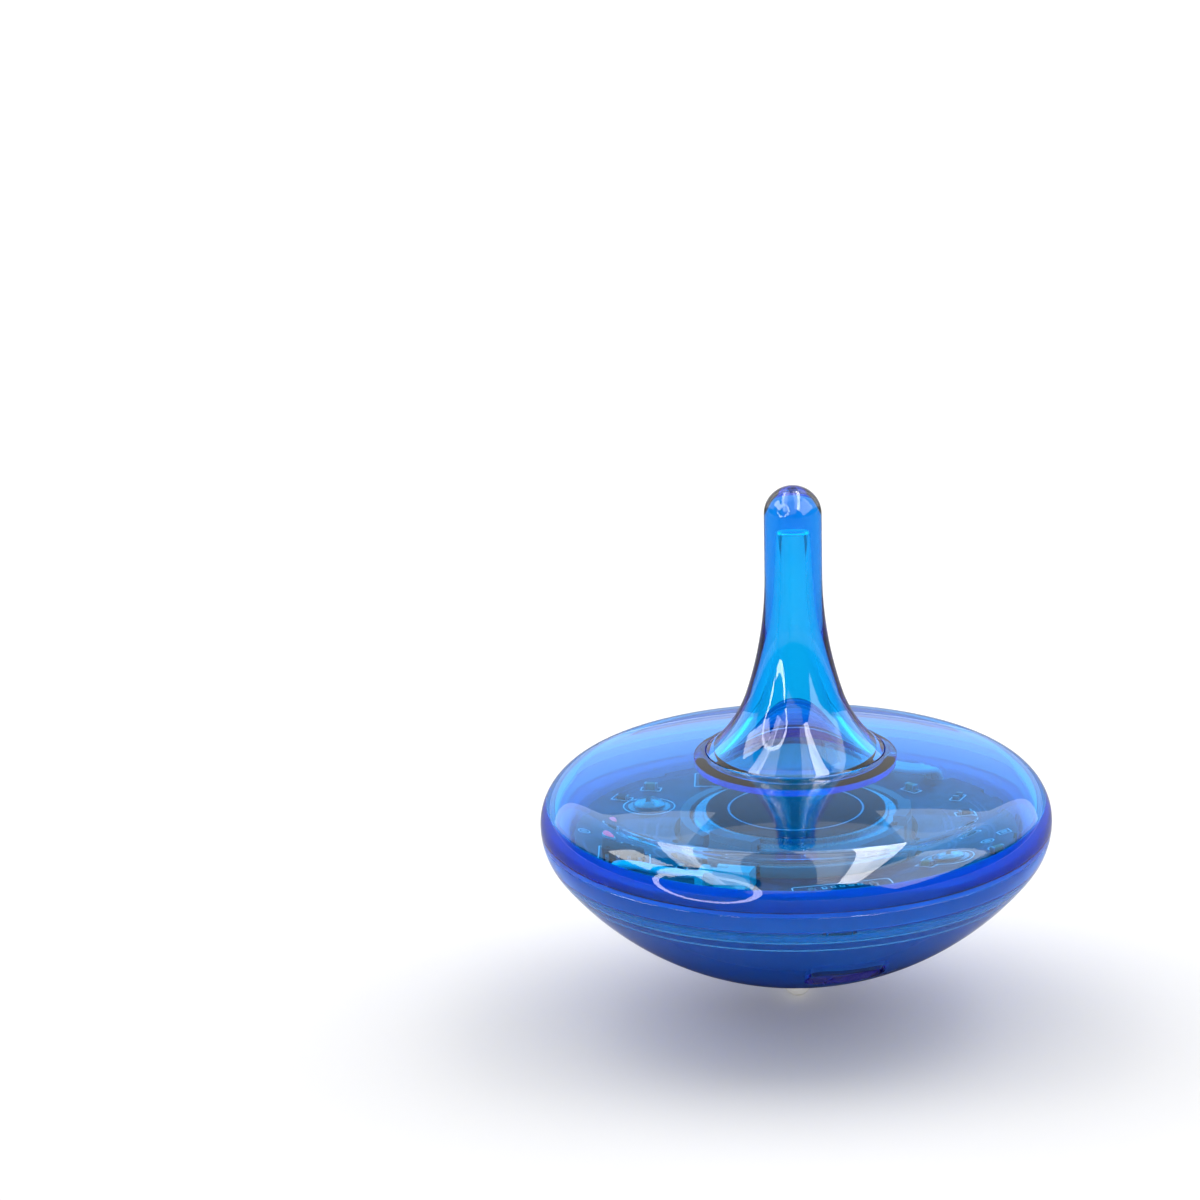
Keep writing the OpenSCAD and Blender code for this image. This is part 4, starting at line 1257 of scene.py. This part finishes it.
class TOP_OT_driver_chip(bpy.types.Operator):
    """Model the eight-pin chip: a bevelled body with a dimple and bent pins"""

    bl_idname = "top.driver_chip"
    bl_label = "Driver chip"

    size = Vector((4.9, 3.9, 1.35)) * MM
    lift = 0.15 * MM
    pitch = 1.27 * MM
    pin = Vector((0.42, 0.2)) * MM
    place = (*DRIVER_CHIP, BOARD_TOP)

    def execute(self, context):
        body = block("driver_chip_body", self.size, (0, 0, self.lift), 0.12 * MM)
        top = self.lift + self.size.z
        dimple = rod("dimple", 0.3 * MM, -0.1 * MM, 0.1 * MM)
        dimple.location = (-0.36 * self.size.x, -0.3 * self.size.y, top)
        carve(body, dimple)
        body.matrix_world = standing(*self.place)
        seat(body, chip_epoxy(), "chip_black", "driver_chip")
        spots = []
        for i in range(4):
            x = (i - 1.5) * self.pitch
            spots.append(standing(*self.place) @ Matrix.Translation((x, 0, 0)))
            spots.append(standing(*self.place, 180) @ Matrix.Translation((x, 0, 0)))
        seat(copied("driver_chip_pins", self.bent_pin(), spots), solder_tin(), "steel")
        return {"FINISHED"}

    def bent_pin(self):
        """One pin on the +Y side: an edge drawn out along the pin's bends and given its thickness."""
        half = self.size.y / 2
        mid = self.lift + self.size.z / 2
        foot = self.pin.y / 2
        corner = 0.12 * MM
        bends = (
            (0.4 * MM, 0.0),
            (corner, -corner),
            (0.02 * MM, foot + 2 * corner - mid),
            (corner, -corner),
            (0.39 * MM, 0.0),
        )
        pin = flat_plate("pin", (self.pin.x, self.pin.x), (0, half - self.pin.x / 2, mid))
        with editing(pin):
            pick(pin, "verts", lambda p: p.y < half - NEAR)
            bpy.ops.mesh.delete(type="VERT")
            select_all()
            for forward, up in bends:
                bpy.ops.mesh.extrude_edges_move(TRANSFORM_OT_translate={"value": (0, forward, up)})
        modify(pin, "SOLIDIFY", thickness=self.pin.y, offset=0.0, use_even_offset=True)
        soften(pin, 0.03 * MM, 60)
        return pin


class Marks:
    """Thin flat marks on the board's top, gathered into one piece."""

    def __init__(self, name, rise):
        self.name = name
        self.rise = rise
        self.parts = []

    def keep(self, part, r, turn, spin):
        part.matrix_world = standing(r, turn, BOARD_TOP + self.rise, spin)
        settle(part)
        self.parts.append(part)

    def disc(self, r, turn, outer, line=0.0, sides=32, spin=0.0):
        """A disc, or a ring where a line is given, turned by spin."""
        part = flat_disc("mark", outer, sides)
        if line:
            hollow(part, line)
        self.keep(part, r, turn, spin)

    def plate(self, r, turn, size, line=0.0, spin=0.0, corner=0.0, shift=(0, 0)):
        """A plate, or its outline where a line is given, turned by spin from its direction."""
        part = flat_plate("mark", size, (*shift, 0))
        if corner:
            with editing(part):
                select_all()
                bpy.ops.mesh.bevel(offset=corner, segments=6, affect="VERTICES")
        if line:
            hollow(part, line)
        self.keep(part, r, turn, turn + spin)

    def track(self, r, width, first, last):
        """A strip round the axis between two directions."""
        part = flat_plate("track", (width, width), (r, 0, 0))
        with editing(part):
            pick(part, "verts", lambda p: p.y < 0)
            bpy.ops.mesh.delete(type="VERT")
            select_all()
            sweep = math.radians(last - first)
            steps = max(4, int(abs(last - first) / 3))
            bpy.ops.mesh.spin(steps=steps, angle=sweep, center=(0, 0, 0), axis=(0, 0, -1))
            select_all()
            bpy.ops.mesh.normals_make_consistent(inside=False)
        self.keep(part, 0, 0, first)

    def done(self, finish, slot, thickness):
        piece = joined(self.name, self.parts)
        with editing(piece, "FACE"):
            mesh = bmesh.from_edit_mesh(piece.data)
            for face in mesh.faces:
                face.select_set(face.normal.z < 0)
            bpy.ops.mesh.flip_normals()
        modify(piece, "SOLIDIFY", thickness=thickness, offset=1.0)
        seat(piece, finish, slot)


# Tracks on the board: radius in millimetres, first and last direction in degrees
TRACKS = (
    (24.9, -150, -118), (24.3, -152, -120), (22.9, -20, 24), (22.2, -18, 26),
    (18.2, -52, 20), (17.4, -50, 8), (24.6, 84, 148), (23.8, 88, 145),
    (17.0, 84, 130), (16.2, 160, 205), (17.6, 172, 196), (24.9, 186, 202),
)

# Test pads: radius in millimetres, direction in degrees
TEST_PADS = ((24.7, 177), (21.7, -173), (23.7, -16), (23.1, -41), (22.2, -8))


class TOP_OT_board_marks(bpy.types.Operator):
    """Print the plain marks, pads and tracks on the circuit board"""

    bl_idname = "top.board_marks"
    bl_label = "Board marks"

    def execute(self, context):
        self.tracks()
        self.pads()
        self.ink_marks()
        return {"FINISHED"}

    def tracks(self):
        marks = Marks("board_tracks", 0.0)
        for r, first, last in TRACKS:
            marks.track(r * MM, 0.3 * MM, first, last)
        for r, first, last in TRACKS[::2]:
            for turn in (first, last):
                marks.disc(r * MM, turn, 0.35 * MM, sides=16)
        marks.done(mask_over_copper(), "board", 0.02 * MM)

    def pads(self):
        marks = Marks("board_pads", 0.003 * MM)
        for turn in BOARD_SCREWS:
            marks.disc(SCREW_RADIUS, turn, 2.5 * MM, 1.4 * MM)
        for r, turn in TEST_PADS:
            marks.disc(r * MM, turn, 0.42 * MM, sides=20)
        for i in range(4):
            marks.disc((22.6 + 0.1 * i) * MM, -163 + 3.6 * i, 0.36 * MM, 0.2 * MM, sides=16)
        marks.plate(24.1 * MM, -1, (0.8 * MM, 0.8 * MM), spin=20)
        for x in (-3.6, 3.6):
            shift = (x * MM, 0)
            marks.plate(PORT_RADIUS, PORT_TURN, (0.95 * MM, 2.3 * MM), 0.22 * MM, 90, 0.3 * MM, shift)
        marks.done(solder_tin(), "steel", 0.03 * MM)

    def ink_marks(self):
        marks = Marks("board_print", 0.006 * MM)
        line = 0.16 * MM
        for turn in BOARD_SCREWS:
            marks.disc(SCREW_RADIUS, turn, 3.1 * MM, line)
        for r, turn in TEST_PADS:
            marks.disc(r * MM, turn, 0.85 * MM, line)
        marks.plate(24.1 * MM, -1, (1.7 * MM, 1.7 * MM), line, 20)
        marks.plate(PORT_RADIUS, PORT_TURN, (11.6 * MM, 4.3 * MM), line, 90, 0.5 * MM)
        marks.plate(PORT_RADIUS, PORT_TURN, (6.2 * MM, 0.7 * MM), 0, 90, 0.34 * MM, (0, -0.9 * MM))
        for i in range(5):
            shift = ((i - 2) * 1.05 * MM, 1.0 * MM)
            marks.plate(PORT_RADIUS, PORT_TURN, (0.6 * MM, 0.75 * MM), 0.12 * MM, 90, 0, shift)
        marks.disc(23.6 * MM, -73, 1.9 * MM, 0, 3, -73 + 180)
        for turn in (-54, -49):
            marks.disc(25.2 * MM, turn, 0.5 * MM, 0, 3, turn)
        marks.plate(24.0 * MM, -83, (2.3 * MM, 1.5 * MM), line, 110, 0.3 * MM)
        marks.plate(23.7 * MM, -79, (1.2 * MM, 1.6 * MM), line, 60)
        for x in (-0.55, 0.55):
            for y in (-0.6, 0.6):
                marks.plate(23.6 * MM, -64, (0.85 * MM, 0.95 * MM), line, 90, 0, (x * MM, y * MM))
        marks.plate(24.0 * MM, -104, (6.8 * MM, 1.7 * MM), line, 90)
        for i in range(4):
            shift = ((i - 1.5) * 1.5 * MM, 0)
            marks.plate(24.0 * MM, -104, (0.9 * MM, 0.9 * MM), line, 90, 0, shift)
        for p in RESISTORS[3:] + CAPACITORS[3:]:
            marks.plate(BOARD_RADIUS - p[0] * MM, p[1], (2.5 * MM, 1.4 * MM), line, p[2])
        marks.plate(*DRIVER_CHIP, (6.2 * MM, 7.0 * MM), line, -DRIVER_CHIP[1])
        marks.plate(*CONTROLLER_CHIP, (5.2 * MM, 5.2 * MM), line, -CONTROLLER_CHIP[1])
        marks.done(board_ink(), "label", 0.02 * MM)


# Pieces that keep their solids


class TOP_OT_plain_finishes(bpy.types.Operator):
    """Give the pieces that keep their solid shape their finishes"""

    bl_idname = "top.plain_finishes"
    bl_label = "Finishes"

    def execute(self, context):
        finishes = {
            ground_steel: ("motor_shaft",),
            bearing_chrome: ("lower_bearing", "upper_bearing"),
            turned_aluminium: ("motor_base",),
            insulated_iron: ("stator_core",),
            enamelled_copper: ("stator_coils",),
            plated_bell: ("rotor_bell",),
            magnet_plating: ("rotor_magnets",),
            cradle_plastic: ("battery_cradle",),
            black_foam: ("battery_pad",),
            cell_steel: ("battery_cell",),
            label_film: ("battery_label",),
            solder_mask: ("circuit_board",),
            connector_nylon: ("motor_socket", "motor_plug", "battery_socket", "battery_plug"),
            port_chrome: ("charging_port",),
            black_nylon: ("port_tongue",),
            red_lens: ("indicator_led",),
            chip_epoxy: ("controller_chip",),
        }
        for finish, nodes in finishes.items():
            for node in nodes:
                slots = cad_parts[node].data.materials
                slots.clear()
                slots.append(finish())
        return {"FINISHED"}


# Studio


RAYS = ("diffuse", "glossy", "transmission")

# Softboxes: place, size and power
SOFTBOXES = {
    "overhead_softbox": ((0.05, 0.22, 0.9), (1.0, 1.0), 2.6),
    "left_softbox": ((-0.7, 0.45, 0.62), (1.1, 1.1), 5.0),
    "right_softbox": ((0.7, 0.45, 0.62), (1.1, 1.1), 5.0),
}
LOW_FILL = ((0, -0.5, 0.03), (0.3, 0.05), 0.8)

# Long lamps: far end, near end, width and brightness
STRIPS = {
    "right_tube": ((0.18, 0.8, 1.03), (0.6, -1.2, 1.03), 0.2, 11),
    "right_haze": ((0.08, 0.8, 1.04), (0.4, -1.2, 1.04), 0.3, 3),
    "left_haze": ((-0.15, 0.75, 1.04), (-0.75, -1.2, 1.04), 0.3, 2.5),
    "right_panel": ((1.28, 0.3, 1.03), (1.28, -1.6, 1.03), 1.4, 4),
    "left_tube": ((-0.3, 0.75, 1.03), (-1.05, -1.2, 1.03), 0.2, 6),
    "left_panel": ((-1.4, 0.3, 1.03), (-1.4, -0.9, 1.03), 0.6, 7),
    "ceiling": ((-0.2, 0.75, 1.05), (-0.2, -1.8, 1.05), 1.1, 1.3),
}

# Lit rings in front of the top: centre, radius, width of the lit line and brightness
RINGS = {
    STEM_RING: ((-0.303, -0.316, 0.257), 0.22, 0.034, 14.0),
    RIM_RING: ((-0.047, -0.069, 0.034), 0.033, 0.005, 9.0),
}


def softbox(name, place, size, power, along=(0, 1, 0), target=(0, 0, 0.03), shows=RAYS):
    """Adds a flat lamp that faces the top, with its long side along one way."""
    deselect()
    bpy.ops.object.light_add(type="AREA", location=place)
    lamp = bpy.context.object
    lamp.name = name
    back = (Vector(place) - Vector(target)).normalized()
    side = Vector(along).cross(back).normalized()
    lamp.rotation_euler = Matrix((side, back.cross(side), back)).transposed().to_euler()
    lamp.data.shape = "RECTANGLE"
    lamp.data.size = size[0]
    lamp.data.size_y = size[1]
    lamp.data.energy = power
    lamp.visible_camera = False
    for kind in RAYS:
        setattr(lamp, f"visible_{kind}", kind in shows)


def only_mirrored(piece):
    """Stage pieces that show in the gloss of the top and nowhere else."""
    piece.visible_camera = False
    piece.visible_diffuse = False
    piece.visible_transmission = False
    piece.visible_shadow = False


def glint(lamp, piece):
    """Lets a lamp show on one piece alone."""
    receivers = bpy.data.collections.new(f"{lamp}_receivers")
    receivers.objects.link(piece)
    bpy.data.objects[lamp].light_linking.receiver_collection = receivers


def pale_floor():
    finish = Finish("pale_floor")
    stage = bpy.context.scene.top_stage
    grain = finish.noise(2 * MM, 2.0)
    glow = (stage.floor_glow, stage.floor_glow, stage.floor_glow, 1.0)
    seen = finish.node("ShaderNodeLightPath", output="Is Camera Ray")
    return finish.shade(
        base_color=rgba(stage.floor_colour),
        roughness=grain * 0.05 + 0.35,
        specular_ior_level=0.0,
        emission_color=finish.blend(seen, BLACK, glow),
        emission_strength=1.0,
    )


class TOP_OT_stage(bpy.types.Operator):
    """Set up the pale floor, the white surroundings, the lamps and the camera"""

    bl_idname = "top.stage"
    bl_label = "Stage"

    floor_size = 6.0
    shadow_card_radius = 0.65
    shadow_card_rise = 0.2 * MM

    def execute(self, context):
        stage = context.scene.top_stage
        floor = flat_plate("pale_floor", (self.floor_size, self.floor_size))
        floor.data.materials.append(pale_floor())
        self.surroundings(context.scene, stage)
        self.lamps()
        self.camera(context.scene, stage)
        context.scene.view_settings.view_transform = "Standard"
        cycles = context.scene.cycles
        cycles.use_denoising = True
        cycles.max_bounces = 32
        cycles.transmission_bounces = 28
        cycles.glossy_bounces = 8
        return {"FINISHED"}

    def surroundings(self, scene, stage):
        """A white room, dimmer in front: spans run along a heading from -1 in front to 1 behind."""
        world = bpy.data.worlds.new("white_room")
        world.use_nodes = True
        scene.world = world
        nodes = Nodes(world.node_tree)
        back = world.node_tree.nodes["Background"]
        back.inputs["Color"].default_value = WHITE
        path = nodes.node("ShaderNodeLightPath")
        straight = path.part("Is Camera Ray")
        through = path.part("Is Transmission Ray")
        gloss = path.part("Is Glossy Ray")
        heading = nodes.node("ShaderNodeTexCoord", output="Generated")
        depth = nodes.node("ShaderNodeSeparateXYZ", None, {"Vector": heading}, output="Y")
        side = depth.part("X")
        mirrored = nodes.ramp(depth, (0.3, 0.9), (stage.front_gloss, stage.back_gloss))
        refracted = nodes.ramp(depth, (0.1, 0.9), (stage.front_clear, 1.0))
        refracted = refracted | (path.part("Diffuse Depth") > 0.5) * stage.inside
        plain = 1 - (straight | through | gloss)
        around = nodes.ramp(depth, (-0.7, 0.9), (0.2 * stage.ambient, stage.ambient))
        around = around + side * side * stage.sides
        light = straight + through * refracted + gloss * mirrored + plain * around
        nodes.feed(back.inputs["Strength"], light)

    def lamps(self):
        """Softboxes overhead and beside, a low fill for the tip, and what shows only in the top's gloss, a
        sheet with painted shadow among them.
        """
        for name, box in SOFTBOXES.items():
            softbox(name, *box)
        softbox("low_fill", *LOW_FILL, shows=("diffuse",))
        for name, strip in STRIPS.items():
            self.strip(name, *strip)
        for name, ring in RINGS.items():
            self.ring_lamp(name, *ring)
        self.card()

    def strip(self, name, first, last, width, brightness):
        """A long lamp between two places, shown only in the gloss of the top."""
        along = Vector(first) - Vector(last)
        power = brightness * math.pi * width * along.length
        middle = (Vector(first) + Vector(last)) / 2
        softbox(name, middle, (width, along.length), power, along, shows=("glossy",))

    def ring_lamp(self, name, place, radius, line, brightness):
        """A lit ring that faces the top and shows only in its outer gloss."""
        turn = Vector(place).to_track_quat("Z", "Y").to_euler()
        ring = flat_disc(name, radius, 96, place, turn)
        hollow(ring, line)
        glow = Finish(f"{name}_glow")
        outer = glow.node("ShaderNodeLightPath", output="Transmission Depth") < 0.5
        shown = glow.blend(outer, BLACK, WHITE)
        ring.data.materials.append(
            glow.shade(base_color=BLACK, emission_color=shown, emission_strength=brightness)
        )
        only_mirrored(ring)

    def card(self):
        """A round sheet over the floor, seen only in the top's gloss, with painted shadow: darkest under
        the top, palest round its rim and greyer again further out.
        """
        card = flat_disc("floor_card", self.shadow_card_radius, 96, (0, 0, self.shadow_card_rise))
        finish = Finish("card_grey")
        out = finish.out()
        # Painted shadow: dark under the top, paler out to its rim, then greyer again further out.
        under = finish.ramp(out, (0.013, 0.03), (0.06, 0.5))
        shade = under - finish.ramp(out, (0.04, 0.09), (0.0, 0.3))
        grey = finish.blend(shade, BLACK, WHITE)
        card.data.materials.append(finish.shade(base_color=grey, roughness=0.9))
        only_mirrored(card)

    def camera(self, scene, stage):
        deselect()
        bpy.ops.object.camera_add(location=stage.camera_place)
        camera = bpy.context.object
        turn = Matrix.Rotation(stage.yaw, 3, "Z") @ Matrix.Rotation(math.pi / 2 - stage.pitch, 3, "X")
        camera.rotation_euler = (turn @ Matrix.Rotation(stage.roll, 3, "Z")).to_euler()
        camera.data.lens = stage.lens
        camera.data.clip_start = 0.01
        scene.camera = camera


class TOP_PT_builder(bpy.types.Panel):
    """Lists the pieces of the top in the order in which they are built"""

    bl_label = "Electric spinning top"
    bl_space_type = "VIEW_3D"
    bl_region_type = "UI"
    bl_category = "Spinning top"

    def draw(self, context):
        for operator in OPERATORS:
            self.layout.operator(operator.bl_idname)


GROUPS = {"top_case": TopCase, "top_stem": TopStem, "top_colours": TopColours, "top_stage": TopStage}
OPERATORS = (
    TOP_OT_stage,
    TOP_OT_upper_shell,
    TOP_OT_lower_shell,
    TOP_OT_finger_stem,
    TOP_OT_drive_tip,
    TOP_OT_screws,
    TOP_OT_leads,
    TOP_OT_chip_parts,
    TOP_OT_driver_chip,
    TOP_OT_board_marks,
    TOP_OT_plain_finishes,
)


def register():
    for name, group in GROUPS.items():
        bpy.utils.register_class(group)
        setattr(bpy.types.Scene, name, PointerProperty(type=group))
    for operator in OPERATORS:
        bpy.utils.register_class(operator)
    bpy.utils.register_class(TOP_PT_builder)


def unregister():
    bpy.utils.unregister_class(TOP_PT_builder)
    for operator in reversed(OPERATORS):
        bpy.utils.unregister_class(operator)
    for name, group in GROUPS.items():
        delattr(bpy.types.Scene, name)
        bpy.utils.unregister_class(group)


def main():
    register()
    for operator in OPERATORS:
        package, name = operator.bl_idname.split(".")
        getattr(getattr(bpy.ops, package), name)()


if __name__ == "__main__":
    main()
